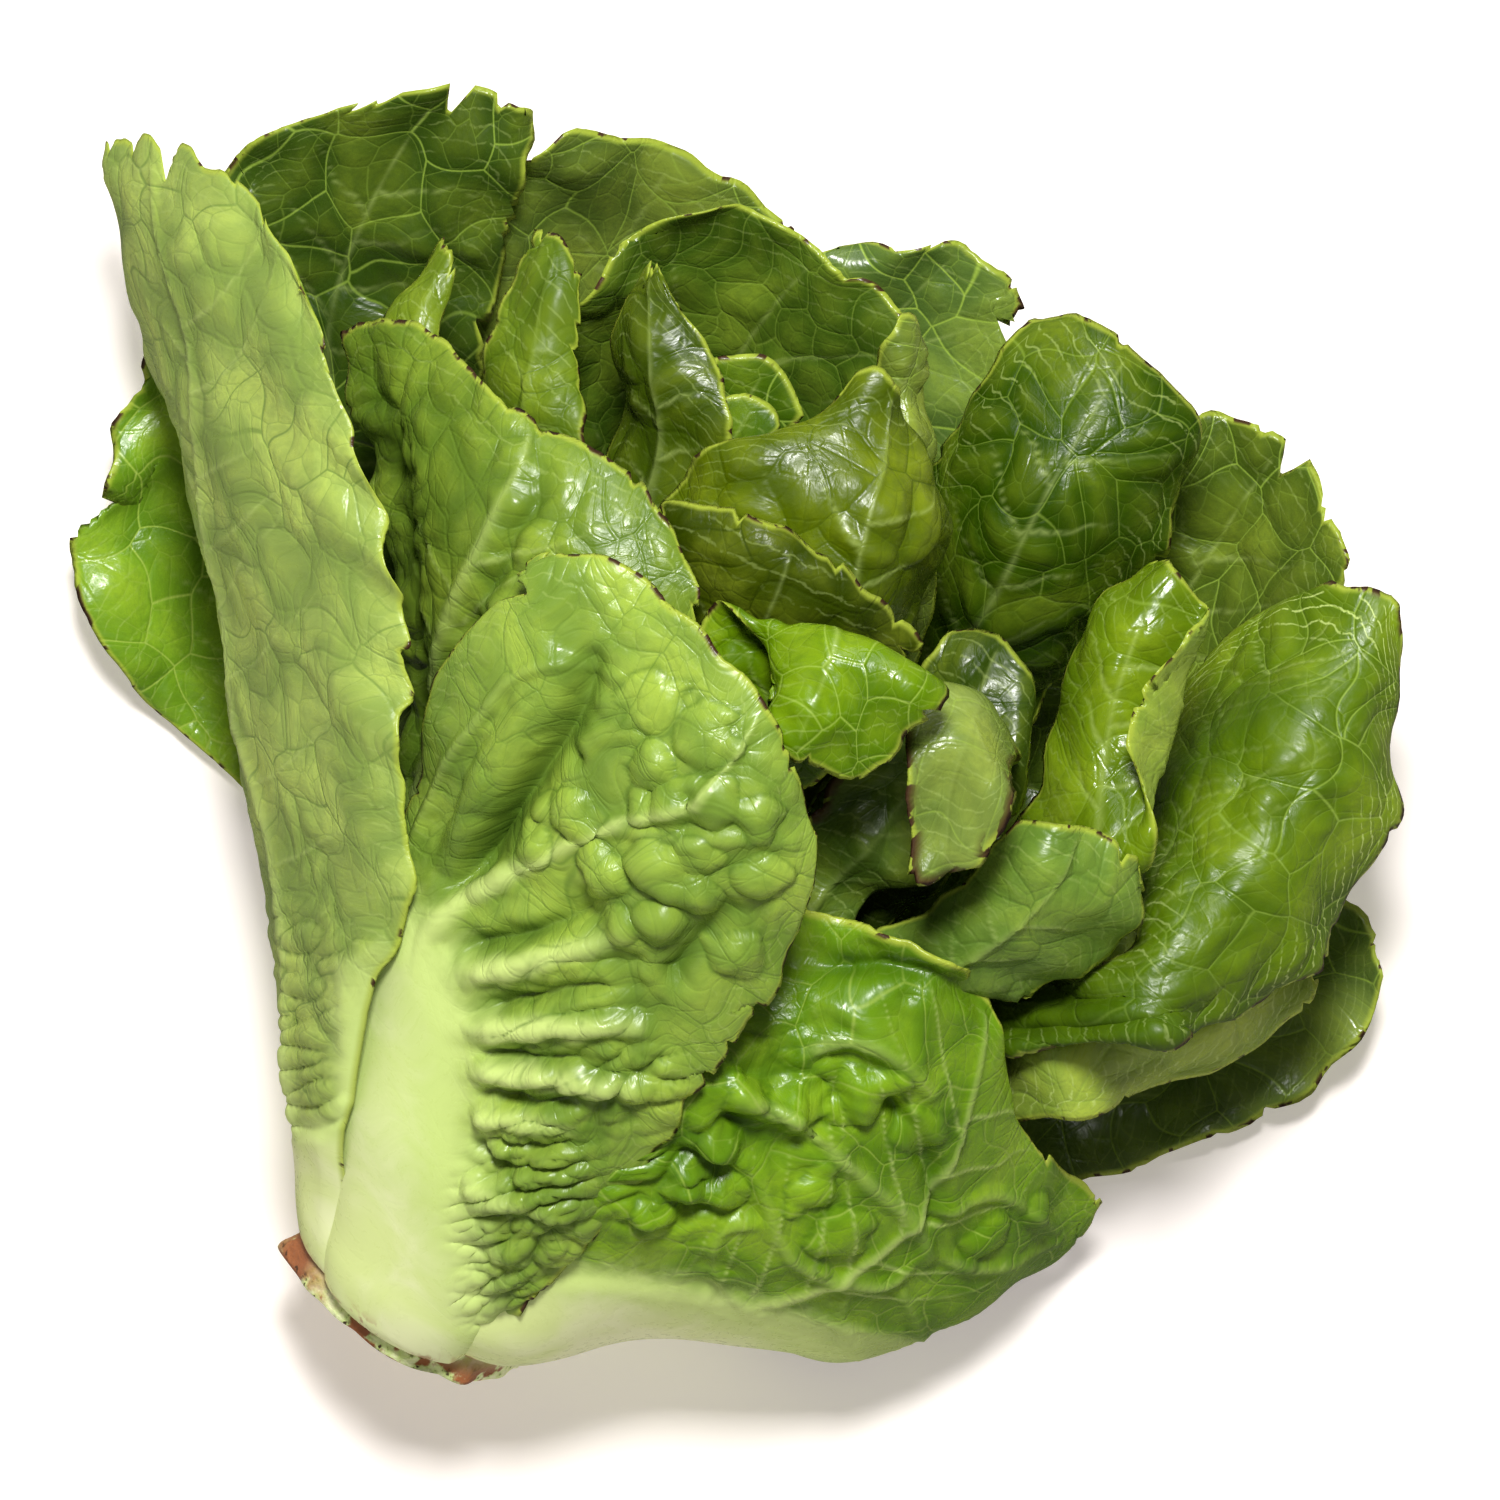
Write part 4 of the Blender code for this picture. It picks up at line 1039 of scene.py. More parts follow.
def crumple_fields(points, look, seed):
    """Paper-like crumples in round zones: rounded crests, sharp valleys with painted shade."""
    relief, groove_shade = np.zeros(points.shape[:2]), np.zeros(points.shape[:2])
    off_petiole = 1 - plan_patch(points, look["petiole"], look["petiole_soft"])
    for x, y, radius, height, grain in look["crumples"]:
        gap = np.hypot(points[..., 0] - x, points[..., 1] - y) / radius
        fade = np.clip(1.2 - 1.2 * gap ** 2, 0, 1) * off_petiole
        with_veins = (points[..., 0] * VEIN_COS + points[..., 1] * VEIN_SIN) / CRUMPLE_STRETCH
        over_veins = points[..., 1] * VEIN_COS - points[..., 0] * VEIN_SIN
        fold = abs(swell(with_veins, over_veins, seed + 95, grain))
        second = abs(swell(with_veins, over_veins, seed + 96, FINE_CRUMPLE * grain))
        relief += height * fade * (np.minimum(fold, 0.9) + 0.4 * np.minimum(second, 0.8) - 0.5)
        # Painted shade: the crumples' valleys are darkened, where light hardly reaches.
        valley = np.maximum(np.clip(1 - fold / VALLEY, 0, 1),
                            0.5 * np.clip(1 - second / VALLEY, 0, 1))
        groove_shade = np.maximum(groove_shade, 0.9 * fade * valley)
    return relief, groove_shade


def crease_fields(points, look, seed):
    """Relief in millimetres, paleness and painted shade of a leaf's listed lines and spots."""
    pale, raised = np.zeros(points.shape[:2]), np.zeros(points.shape[:2])
    relief, groove_shade = crumple_fields(points, look, seed)
    warp = 1 + WARP * swell(points[..., 0], points[..., 1], seed + 91, WARP_LENGTH)
    for height, width, light, plan in look["creases"]:
        rows, columns = grid_path(points, plan)
        gap, share = near_line(points, sample(points, rows, columns), 3.5 * width)
        taper = (1 - 0.5 * share ** 2) * np.clip(0.15 + share / 0.2, 0, 1)
        profile = np.exp(-(gap * warp / width) ** 2) * taper
        relief += height * profile
        pale = np.maximum(pale, light * profile)
        # Painted shade: a sunken crease darkens the more, the deeper it sinks.
        groove_shade = np.maximum(groove_shade, min(-0.4 * min(height, 0), 1) * profile)
    for x, y, radius, height in look["blisters"]:
        row, column = grid_path(points, ((x, y), (x, y)), 2)
        gap = near_line(points, sample(points, row, column)[:1], 2 * radius)[0] * warp / radius
        dome = height * np.clip(1 - gap ** 2, 0, 1)
        groove_shade = np.where(dome > raised, 0.0, groove_shade)
        raised = np.maximum(raised, dome)
        # Painted shade: a dark ring round the foot of each blister.
        groove_shade = np.maximum(groove_shade, 0.7 * np.exp(-((gap - 1.0) * radius / 0.5) ** 2) * (raised < 0.3))
    return relief + raised, pale, groove_shade


print("crumples run", math.degrees(math.asin(VEIN_SIN)), "degrees off the cross direction")

# %% [markdown]
# The midrib and its side veins are the leaf's plumbing: a broad white band at the foot that
# thins towards the tip, and laterals that leave it in pairs and arch to the margin. They
# follow a rule, so they are drawn by one, a little uneven from leaf to leaf.

# %% Veins
VEIN_POINTS = 70
RIB_POINTS = 160
VEINED_SHARE = 0.62
LAST_START = 0.93


def vein_paths(shape, look, width, length, seed):
    """Lines in the sheet's own grid: the midrib first, then the laterals on both sides."""
    draw = np.random.default_rng(seed + 50)
    rows, columns = shape[0] - 1, shape[1] - 1
    knots = np.array(look["midrib"])

    def middle(share):
        return np.interp(share, knots[:, 0], knots[:, 1])

    share = np.linspace(0, 0.97, RIB_POINTS)
    paths = [(share * rows, (middle(share) + 1) / 2 * columns, None)]
    count = max(int(length * VEINED_SHARE / look["spacing"]), 2)
    for k in range(count):
        for side in (-1, 1):
            step = k + 0.5 * (side > 0) * 0.8 + draw.uniform(-0.15, 0.15)
            start = look["blade_start"] + step * look["spacing"] / length
            if start > LAST_START:
                continue
            t = np.linspace(0, 1, VEIN_POINTS)
            reach = side - middle(start)
            slope = draw.uniform(0.8, 1.2)
            rise = slope * (0.55 * t + 0.45 * t ** 2) * abs(reach) * 0.5 * width / length
            wander = 0.012 * ripple(t * 30, int(seed + 60 + 7 * k + side), 13.0) * t
            line = start + rise + wander
            keep = line < 0.985
            column = (middle(start) + reach * t * 0.985 + 1) / 2 * columns
            paths.append((line[keep] * rows, column[keep], t[keep]))
    return paths


def distance_to(points, lines):
    """Distance of each grid point to the nearest point of the lines, and that point's weight."""
    places = np.concatenate([line for line, _ in lines])
    weights = np.concatenate([weight for _, weight in lines])
    tree = KDTree(len(places))
    for index, place in enumerate(places):
        tree.insert(place, index)
    tree.balance()
    found = [tree.find(p) for p in points.reshape(-1, 3)]
    gap = np.array([f[2] for f in found]).reshape(points.shape[:2])
    weight = weights[[f[1] for f in found]].reshape(points.shape[:2])
    return gap, weight


def vein_fields(points, look, seed):
    """How strongly each point belongs to the midrib and to a lateral, from 0 to 1."""
    left, right, tip, foot = edge_distances(points)
    length, width = float(foot.max()), float((left + right).max())
    paths = vein_paths(points.shape, look, width, length, seed)
    rib_line = sample(points, paths[0][0], paths[0][1])
    rib_width = np.interp(np.linspace(0, 1, len(rib_line)), *np.array(look["rib_widths"]).T)
    gap, half = distance_to(points, [(rib_line, rib_width)])
    petiole = plan_patch(points, look["petiole"], look["petiole_soft"])
    rib = np.maximum(np.exp(-(gap / half) ** 2), petiole)
    laterals = [(sample(points, r, c), 1.0 - 0.72 * t) for r, c, t in paths[1:] if len(r) > 3]
    gap, strength = distance_to(points, laterals)
    vein = np.exp(-(gap / (look["vein_width"] * strength)) ** 2) * np.clip(strength * 1.15, 0, 1)
    return rib, vein


print("laterals start at most", LAST_START, "of the way up a leaf")

# %% [markdown]
# What the blade carries is stored on its points by name: where they are on the leaf in
# millimetres, how near a rib or the margin they are, how white the foot is and how much
# they may swell. The geometry tree and the paint both read these, so they always agree.


# %% Named values
ZONE = 230.0
ZONE_WARP = 1.3
ZONE_WAVE = 14.0
WHITE_FADE = 0.15
PATCH_WAVE = 20.0


def blade_place(flat, number):
    """Flat leaf millimetres, gently warped; each leaf has its own zone of the pattern."""
    across, along = flat[..., 0], flat[..., 1]
    warped_across = across + ZONE_WARP * swell(across, along, number + 71, ZONE_WAVE)
    warped_along = along + ZONE_WARP * swell(across, along, number + 72, ZONE_WAVE)
    return np.stack([warped_across + ZONE * number, warped_along, 0 * across], axis=-1)


def named_values(points, place, marks, look, number):
    """Everything the tree and the paint need to know about each point of the blade."""
    rib, vein, pale, groove_shade, bleached, calm = np.moveaxis(marks, -1, 0)
    left, right, tip, foot = edge_distances(points)
    side = np.minimum(left, right)
    share = foot / foot.max()
    blade = np.clip((share - look["blade_start"] * 0.75) / 0.18, 0, 1)
    uneven = 0.10 * swell(place[..., 0], place[..., 1], number + 81, 9.0)
    petiole = np.sqrt(rib) * np.clip((look["white_end"] - share) / WHITE_FADE, 0, 1)
    base = np.clip((look["base_white"] - share) / look["base_fade"] + uneven, 0, 1)
    flush = look["petiole_green"] * np.clip((foot - 12) / 18, 0, 1)
    white = np.maximum(np.maximum(petiole, base), bleached * (1 - flush))
    patches = 0.62 + 0.55 * swell(place[..., 0], place[..., 1], number + 82, PATCH_WAVE)
    held = np.clip(np.minimum(side, tip) / 5, 0.15, 1) * (1 - 0.8 * rib) * (1 - 0.8 * calm)
    return {
        "rib": rib * (1 - share * 0.5),
        "vein": np.maximum(vein * blade * look["laterals"], pale),
        # Painted shade: valleys, sunken creases and blister rings are darkened, and so is a low
        # leaf towards its foot, where light hardly reaches.
        "painted_shade": np.maximum(groove_shade, look["deep"] * np.clip((0.80 - share) / 0.32, 0, 1)),
        "margin": np.minimum(side, tip),
        "rim": np.minimum(np.minimum(side, tip), foot),
        "white": white,
        "swell": blade * np.clip(patches, 0.12, 1.25) * held,
        "foot": foot,
    }


def sheet_mesh(name, points, place, values):
    """A plain quad mesh of the fine sheet with its named values."""
    mesh = bpy.data.meshes.new(name)
    mesh.from_pydata(to_metres(points).reshape(-1, 3).tolist(), [], sheet_faces(points.shape))
    attribute = mesh.attributes.new("leaf_place", "FLOAT_VECTOR", "POINT")
    attribute.data.foreach_set("vector", place.astype(np.float32).ravel())
    for key, field in values.items():
        attribute = mesh.attributes.new(key, "FLOAT", "POINT")
        attribute.data.foreach_set("value", field.astype(np.float32).ravel())
    return mesh


print("each leaf has its own zone of the pattern,", ZONE, "mm from the next")

# %% [markdown]
# Nodes are written in Python here, so that the whole tree can be read in one place. A small
# class adds a node, links its sources and returns it, which keeps a formula on one line.

# %% A short way to write node trees
class Graph:
    """Adds nodes to a tree; sources are numbers, vectors or the outputs of other nodes."""

    def __init__(self, tree):
        self.tree = tree

    def add(self, kind, *sources, **settings):
        """A new node with its settings and its first inputs fed in order."""
        node = self.tree.nodes.new(kind)
        for key, value in settings.items():
            setattr(node, key, value)
        for socket, source in zip(node.inputs, sources):
            self.feed(socket, source)
        return node

    def feed(self, socket, source):
        """Links a node or an output to an input, or sets the input's own value."""
        if isinstance(source, bpy.types.Node):
            source = source.outputs[0]
        if isinstance(source, bpy.types.NodeSocket):
            self.tree.links.new(source, socket)
        elif source is not None:
            socket.default_value = source

    def math(self, operation, *sources):
        """One arithmetic step."""
        return self.add("ShaderNodeMath", *sources, operation=operation)

    def product(self, *factors):
        """All the factors multiplied."""
        total = factors[0]
        for factor in factors[1:]:
            total = self.math("MULTIPLY", total, factor)
        return total

    def smooth(self, value, low, high, to_low=0.0, to_high=1.0):
        """A soft step from one value to another."""
        return self.add("ShaderNodeMapRange", value, low, high, to_low, to_high,
                        interpolation_type="SMOOTHSTEP")

    def cells(self, place, scale):
        """Distance to the edge of the Voronoi cell that a place is in."""
        node = self.add("ShaderNodeTexVoronoi", feature="DISTANCE_TO_EDGE", voronoi_dimensions="2D")
        self.feed(node.inputs["Vector"], place)
        self.feed(node.inputs["Scale"], scale)
        return node.outputs["Distance"]

    def noise(self, place, scale, detail=2.0, dimensions="2D"):
        """Soft noise between 0 and 1."""
        node = self.add("ShaderNodeTexNoise", noise_dimensions=dimensions)
        self.feed(node.inputs["Vector"], place)
        self.feed(node.inputs["Scale"], scale)
        self.feed(node.inputs["Detail"], detail)
        return node.outputs[0]

    def value_of(self, name):
        """A value stored on the piece's own points."""
        return self.add("ShaderNodeAttribute", attribute_name=name).outputs["Fac"]

    def mixed(self, factor, first, second, blend="MIX"):
        """A colour between two others."""
        node = self.add("ShaderNodeMix", data_type="RGBA", blend_type=blend)
        self.feed(node.inputs[0], factor)
        self.feed(node.inputs[6], first)
        self.feed(node.inputs[7], second)
        return node.outputs[2]


print("tree writer:", [name for name in vars(Graph) if name[0] != "_"])

# %% [markdown]
# One Geometry Nodes tree makes every blade. Between the veins of a lettuce the blade grows
# faster than the veins do, so it domes up into blisters: a Voronoi texture's distance to its
# cell edges has just that shape, domes with sharp valleys. The tree raises them, lifts the
# ribs on the outer face, and doubles the sheet into a thin shell that closes at the rim.


# %% The blade's tree
BLADE_INPUTS = (("Blister Size", 7.0), ("Blister Height", 0.0012), ("Wrinkle Height", 0.0003),
                ("Rib Height", 0.001), ("Vein Height", 0.0005), ("Thickness", 0.0005),
                ("Rib On Top", 1.0))


def blade_tree():
    """Sheet in, blistered and ribbed shell out."""
    tree = bpy.data.node_groups.new("lettuce_blade", "GeometryNodeTree")
    tree.interface.new_socket("Sheet", in_out="INPUT", socket_type="NodeSocketGeometry")
    for name, value in BLADE_INPUTS:
        socket = tree.interface.new_socket(name, in_out="INPUT", socket_type="NodeSocketFloat")
        socket.default_value = value
    tree.interface.new_socket("Blade Paint", in_out="INPUT", socket_type="NodeSocketMaterial")
    tree.interface.new_socket("Blade", in_out="OUTPUT", socket_type="NodeSocketGeometry")
    g = Graph(tree)
    given = g.add("NodeGroupInput").outputs

    def named(name, kind="FLOAT"):
        return g.add("GeometryNodeInputNamedAttribute", name, data_type=kind)

    def pushed(geometry, amount):
        offset = g.add("ShaderNodeVectorMath", g.add("GeometryNodeInputNormal"), operation="SCALE")
        g.feed(offset.inputs["Scale"], amount)
        moved = g.add("GeometryNodeSetPosition", geometry)
        g.feed(moved.inputs["Offset"], offset)
        return moved

    place = named("leaf_place", "FLOAT_VECTOR")
    edge = g.cells(place, g.math("DIVIDE", 1.0, given["Blister Size"]))
    dome = g.math("POWER", g.smooth(edge, 0.0, 0.46), 0.8)
    small = g.cells(place, g.math("DIVIDE", 2.3, given["Blister Size"]))
    small_dome = g.math("POWER", g.smooth(small, 0.0, 0.46), 0.8)
    lift = g.math("MULTIPLY", g.math("MULTIPLY", dome, given["Blister Height"]), named("swell"))
    wrinkle = g.math("MULTIPLY", small_dome, given["Wrinkle Height"])
    fine = g.math("MULTIPLY", wrinkle, named("swell"))
    groove = g.math("MULTIPLY", g.math("MULTIPLY", named("vein"), given["Vein Height"]), -1.0)
    relief = g.math("ADD", g.math("ADD", lift, fine), groove)
    rib = g.math("MULTIPLY", named("rib"), given["Rib Height"])
    vein = g.math("MULTIPLY", named("vein"), given["Vein Height"])
    swollen = g.math("ADD", rib, g.math("MULTIPLY", vein, 2.2))
    ridge = g.math("MULTIPLY", swollen, g.smooth(named("rim"), 0.0, 4.0))
    under = g.math("SUBTRACT", 1.0, given["Rib On Top"])
    raw = pushed(given["Sheet"], relief)
    spot = g.add("ShaderNodeSeparateXYZ", g.add("GeometryNodeInputPosition"))
    lowest = g.math("ADD", g.math("MULTIPLY", ridge, under), given["Thickness"])
    held = g.add("ShaderNodeCombineXYZ", spot.outputs[0], spot.outputs[1],
                 g.math("MAXIMUM", spot.outputs[2], lowest))
    domed = g.add("GeometryNodeSetPosition", raw)
    g.feed(domed.inputs["Position"], held)

    closing = g.math("MULTIPLY", g.smooth(named("rim"), 0.0, 1.3), given["Thickness"])
    half = g.math("MULTIPLY", closing, 0.5)
    top = pushed(domed, g.math("ADD", half, g.math("MULTIPLY", ridge, given["Rib On Top"])))
    bottom_push = g.math("ADD", half, g.math("MULTIPLY", ridge, under))
    bottom = g.add("GeometryNodeFlipFaces", pushed(domed, g.math("MULTIPLY", bottom_push, -1.0)))
    faces = []
    for shell, outer in ((top, given["Rib On Top"]), (bottom, under)):
        faces.append(g.add("GeometryNodeStoreNamedAttribute", shell, None, "outer_face", outer,
                           data_type="FLOAT", domain="POINT"))
    shell = g.add("GeometryNodeJoinGeometry")
    for face in faces:
        tree.links.new(face.outputs[0], shell.inputs[0])
    closed = g.add("GeometryNodeMergeByDistance", shell)
    closed.inputs["Distance"].default_value = 1e-6
    smooth = g.add("GeometryNodeSetShadeSmooth", closed)
    real = g.add("GeometryNodeRealizeInstances", smooth)
    painted = g.add("GeometryNodeSetMaterial", real)
    g.feed(painted.inputs["Material"], given["Blade Paint"])
    g.add("NodeGroupOutput", painted)
    return tree


BLADE_TREE = blade_tree()
print("blade tree:", len(BLADE_TREE.nodes), "nodes")


# %% [markdown]
# A tree's result exists only while its modifier does. So it is evaluated once, copied into a
# plain mesh, and the sheet it came from is thrown away.

# %% Keep what a tree makes
def run_tree(name, mesh, tree, settings):
    """Runs a tree on a mesh and keeps the result as a plain mesh object."""
    raw = bpy.data.objects.new(name + "_sheet", mesh)
    bpy.context.scene.collection.objects.link(raw)
    modifier = raw.modifiers.new("blade", "NODES")
    modifier.node_group = tree
    for socket in tree.interface.items_tree:
        if socket.in_out == "INPUT" and socket.name in settings:
            modifier[socket.identifier] = settings[socket.name]
    evaluated = raw.evaluated_get(bpy.context.evaluated_depsgraph_get())
    made = bpy.data.meshes.new_from_object(evaluated)
    made.name = name
    bpy.data.objects.remove(raw)
    piece = bpy.data.objects.new(name, made)
    bpy.context.scene.collection.objects.link(piece)
    return piece


print("a tree takes", [name for name, _ in BLADE_INPUTS])

# %% [markdown]
# A lettuce leaf has two looks. Its outer face is paler and duller, its inner face deeper and
# glossier. Veins show as pale lines on the inner face; on the outer one the blister valleys get
# fine dark lines, part vein and part painted shade. The rim is thin and yellow-green, part its
# own colour and part painted highlight, torn edges turn brown where they dry, and the foot of
# the leaf bleaches to cream white because it never sees light.

# %% The colours of a lettuce
RIB_PALE = (0.52, 0.64, 0.19, 1.0)
VEIN_GREEN = (0.26, 0.38, 0.05, 1.0)
# A lighter copy, for random light patches and for painted light on the blister tops.
LIT_GREEN = (0.50, 0.60, 0.05, 1.0)
# A darker copy, for random darker patches and for painted shade in the blister valleys.
SHADE_TINT = (0.55, 0.62, 0.55, 1.0)
# The colour that painted shade multiplies into a leaf.
PAINTED_SHADE_TINT = (0.25, 0.35, 0.22, 1.0)
FOOT_WHITE = (0.58, 0.72, 0.22, 1.0)
FOOT_CREAM = (0.82, 0.86, 0.49, 1.0)
FOOT_PALE = (0.68, 0.78, 0.30, 1.0)
# The rim: the thin margin's own yellow-green and a painted highlight along it.
RIM_YELLOW_AND_HIGHLIGHT = (0.36, 0.44, 0.045, 1.0)
DRIED_BROWN = (0.055, 0.028, 0.012, 1.0)
RUST_BROWN = (0.33, 0.11, 0.035, 1.0)
COMB_PITCH = 2.4
COMB_REACH = 11.0
RUST_FROM = 0.54
BUMP_STRENGTH = 0.45
BUMP_DEPTH = 0.00016
print("palest colour:", FOOT_CREAM[:3], "and darkest:", DRIED_BROWN[:3])

# %% [markdown]
# The layers go on as a leaf shows them: the blade's green with its mottle and painted light on
# the blister tops, the small veins with painted shade along the outer face's valleys, the ribs,
# the painted shade in creases and at low feet, the bleached foot, and last the yellow rim with
# some painted highlight, the dried edge and the rust where the foot was cut. Each is a function
# of the paint so far.


# %% Blade paint
def blade_paint(name, look):
    """Procedural finish of one leaf, read from its named values."""
    paint = bpy.data.materials.new(name + "_blade")
    paint.use_nodes = True
    g = Graph(paint.node_tree)
    shader = paint.node_tree.nodes["Principled BSDF"]
    place = g.add("ShaderNodeAttribute", attribute_name="leaf_place").outputs["Vector"]
    outer = g.value_of("outer_face")

    patches = g.noise(place, 0.07, 3.0)
    mottle = g.noise(place, 0.9, 4.0)
    wander = g.noise(place, 0.35, 3.0)
    cell = g.cells(place, 1.0 / look["cell"])
    small = g.cells(place, 2.3 / look["cell"])
    colour = g.mixed(outer, (*look["inner"], 1.0), (*look["outer"], 1.0))
    # Darker copies: random tone and painted valley shade, then painted shade for creases and feet.
    deep = g.mixed(1.0, colour, SHADE_TINT, "MULTIPLY")
    shaded_copy = g.mixed(1.0, colour, PAINTED_SHADE_TINT, "MULTIPLY")
    light = g.mixed(0.20, colour, LIT_GREEN)
    colour = g.mixed(g.smooth(patches, 0.35, 0.68), deep, colour)
    colour = g.mixed(g.product(g.smooth(patches, 0.52, 0.75), 0.8), colour, light)
    # Painted light: the middle of each blister is lighter, as its raised top catches the light.
    colour = g.mixed(g.product(g.smooth(cell, 0.05, 0.4), 0.35), colour, light)
    colour = g.mixed(g.smooth(mottle, 0.35, 0.7, 0.0, 0.30), colour, deep)

    # Painted shade: thin dark lines along the outer face's blister valleys, where its fine veins
    # run.
    valley_shade_line = g.math("MAXIMUM", g.smooth(cell, 0.0, 0.030, 0.9, 0.0),
                       g.smooth(small, 0.0, 0.035, 0.40, 0.0))
    pale_line = g.math("MAXIMUM", g.smooth(cell, 0.0, 0.026, 0.85, 0.0),
                       g.smooth(small, 0.0, 0.030, 0.30, 0.0))
    off_foot = g.smooth(g.value_of("white"), 0.0, 0.4, 1.0, 0.0)
    dull_side = g.math("MULTIPLY", outer, 1 - look["pale_net"])
    pale_side = g.math("SUBTRACT", 1.0, dull_side)
    colour = g.mixed(g.product(valley_shade_line, dull_side, off_foot, look["lines"]), colour, deep)
    colour = g.mixed(g.product(pale_line, pale_side, off_foot, look["lines"]), colour, VEIN_GREEN)
    run = g.math("ADD", g.math("DIVIDE", g.value_of("foot"), COMB_PITCH),
                 g.math("MULTIPLY", wander, 0.7))
    tooth = g.math("ABSOLUTE", g.math("SUBTRACT", g.math("FRACT", run), 0.5))
    beside = g.product(g.smooth(g.value_of("margin"), 1.0, 2.5),
                       g.smooth(g.value_of("margin"), 4.0, COMB_REACH, 1.0, 0.0))
    comb = g.product(g.smooth(tooth, 0.40, 0.48), beside, g.smooth(mottle, 0.34, 0.48), off_foot,
                     look["comb"])
    colour = g.mixed(comb, colour, RIB_PALE)
    veins = g.math("MAXIMUM", g.math("MULTIPLY", g.value_of("rib"), 0.95),
                   g.math("MULTIPLY", g.value_of("vein"), 0.7))
    colour = g.mixed(g.smooth(veins, 0.12, 0.9, 0.0, look["vein_pale"]), colour, RIB_PALE)
    # Painted shade in valleys, sunken creases, blister rings and at a low leaf's foot.
    colour = g.mixed(g.math("MULTIPLY", g.value_of("painted_shade"), 0.85), colour, shaded_copy)

    white = g.value_of("white")
    unsure = g.math("MULTIPLY", g.math("SUBTRACT", wander, 0.5), 0.22)
    rough_white = g.math("ADD", white, unsure)
    cream = g.mixed(g.smooth(patches, 0.35, 0.65), FOOT_CREAM, FOOT_PALE)
    colour = g.mixed(g.smooth(rough_white, 0.04, 0.45), colour, FOOT_WHITE)
    colour = g.mixed(g.smooth(rough_white, 0.40, 0.95), colour, cream)

    margin = g.value_of("margin")
    # Yellow-green rim, partly the margin's own colour and partly a painted highlight.
    colour = g.mixed(g.smooth(margin, 0.3, look["rim_reach"], look["rim"], 0.0), colour, RIM_YELLOW_AND_HIGHLIGHT)
    dry = g.product(g.smooth(margin, 0.3, look["brown_reach"], 1.0, 0.0),
                    g.smooth(wander, look["brown_from"], look["brown_from"] + 0.05))
    colour = g.mixed(dry, colour, DRIED_BROWN)
    rust = g.product(g.smooth(g.value_of("foot"), 1.5, 6.5, 1.0, 0.0),
                     g.smooth(g.noise(place, 0.30, 4.0), RUST_FROM, RUST_FROM + 0.07))
    colour = g.mixed(rust, colour, RUST_BROWN)
    g.feed(shader.inputs["Base Color"], colour)

    gloss = g.smooth(mottle, 0.3, 0.7, look["gloss"] - 0.06, look["gloss"] + 0.10)
    g.feed(shader.inputs["Roughness"], g.math("ADD", gloss, g.math("MULTIPLY", outer, 0.05)))
    shader.inputs["Specular IOR Level"].default_value = look["shine"]
    lines = g.math("ADD", g.smooth(small, 0.0, 0.10, 0.0, 0.45),
                   g.smooth(cell, 0.0, 0.06, 0.0, 0.8))
    grain = g.math("MULTIPLY", g.math("ADD", g.noise(place, 1.1, 2.0), lines),
                   g.math("ADD", 0.12, off_foot))
    bump = g.add("ShaderNodeBump")
    bump.inputs["Strength"].default_value = BUMP_STRENGTH
    bump.inputs["Distance"].default_value = BUMP_DEPTH
    g.feed(bump.inputs["Height"], grain)
    g.feed(shader.inputs["Normal"], bump)
    return paint


print("rust starts where the noise over a foot passes", RUST_FROM)

# %% [markdown]
# No two leaves of a head are alike, so each has its own look, and only what differs from the
# common one is written down. "grain" is the spacing of its fine grid, "cell" and "dome" the
# size and height of its blisters, "deep" the painted shade towards its foot. "petiole"
# and "smooth" are outlines in plan, and "sheath" is how far its foot wraps round. "white" and
# "base" values say where the foot bleaches, "brown" values how the margin dries, "rim" values
# how strong and wide its yellow-green rim is, part colour and part painted highlight, and
# "lines", "comb" and "pale_net" how the small veins show. Sizes are in millimetres, shares from 0
# to 1.

# %% The common look
COMMON = dict(
    grain=1.0, foot_grain=2.4, cell=7.5, dome=0.8, wrinkle=0.16, ruffle=1.6, roll=0.7, scallop=0.7,
    nicks=3, nick_depth=2.2, corner=3.0, tears=(), creases=(), blisters=(), laterals=1.0,
    rib_widths=((0, 3.0), (0.3, 1.8), (0.6, 0.9), (1, 0.4)), rib_height=1.0,
    petiole=((0, -90), (1, -90), (1, -89)), petiole_soft=2.5, petiole_fade=3.0, petiole_green=0.0,
    petiole_end=(2.0, 1.0), crumples=(), smooth=((0, -90), (1, -90), (1, -89)), sheath=3.0,
    sheath_end=0.32, vein_width=0.55, spacing=10.0, blade_start=0.28, white_end=0.24,
    base_white=0.14, base_fade=0.14, outer=(0.25, 0.36, 0.03), inner=(0.085, 0.185, 0.004),
    lines=0.85, vein_pale=0.35, brown_reach=0.9, brown_from=0.58, gloss=0.27, shine=0.32, comb=0.15,
    deep=0.0, pale_net=0.0, rim=0.75, rim_reach=1.2)
LOOKS = {}


def give_look(name, **changes):
    """Notes what is different about one leaf."""
    LOOKS[name] = {**COMMON, **changes}


print("values in a look:", len(COMMON))

# %% [markdown]
# The leaves under and behind the head show their inner faces: deep green, glossy, with pale
# veins. A leaf that sits low between others gets painted shade towards its foot, and its wide
# sunken creases are painted shade from the leaf over it.

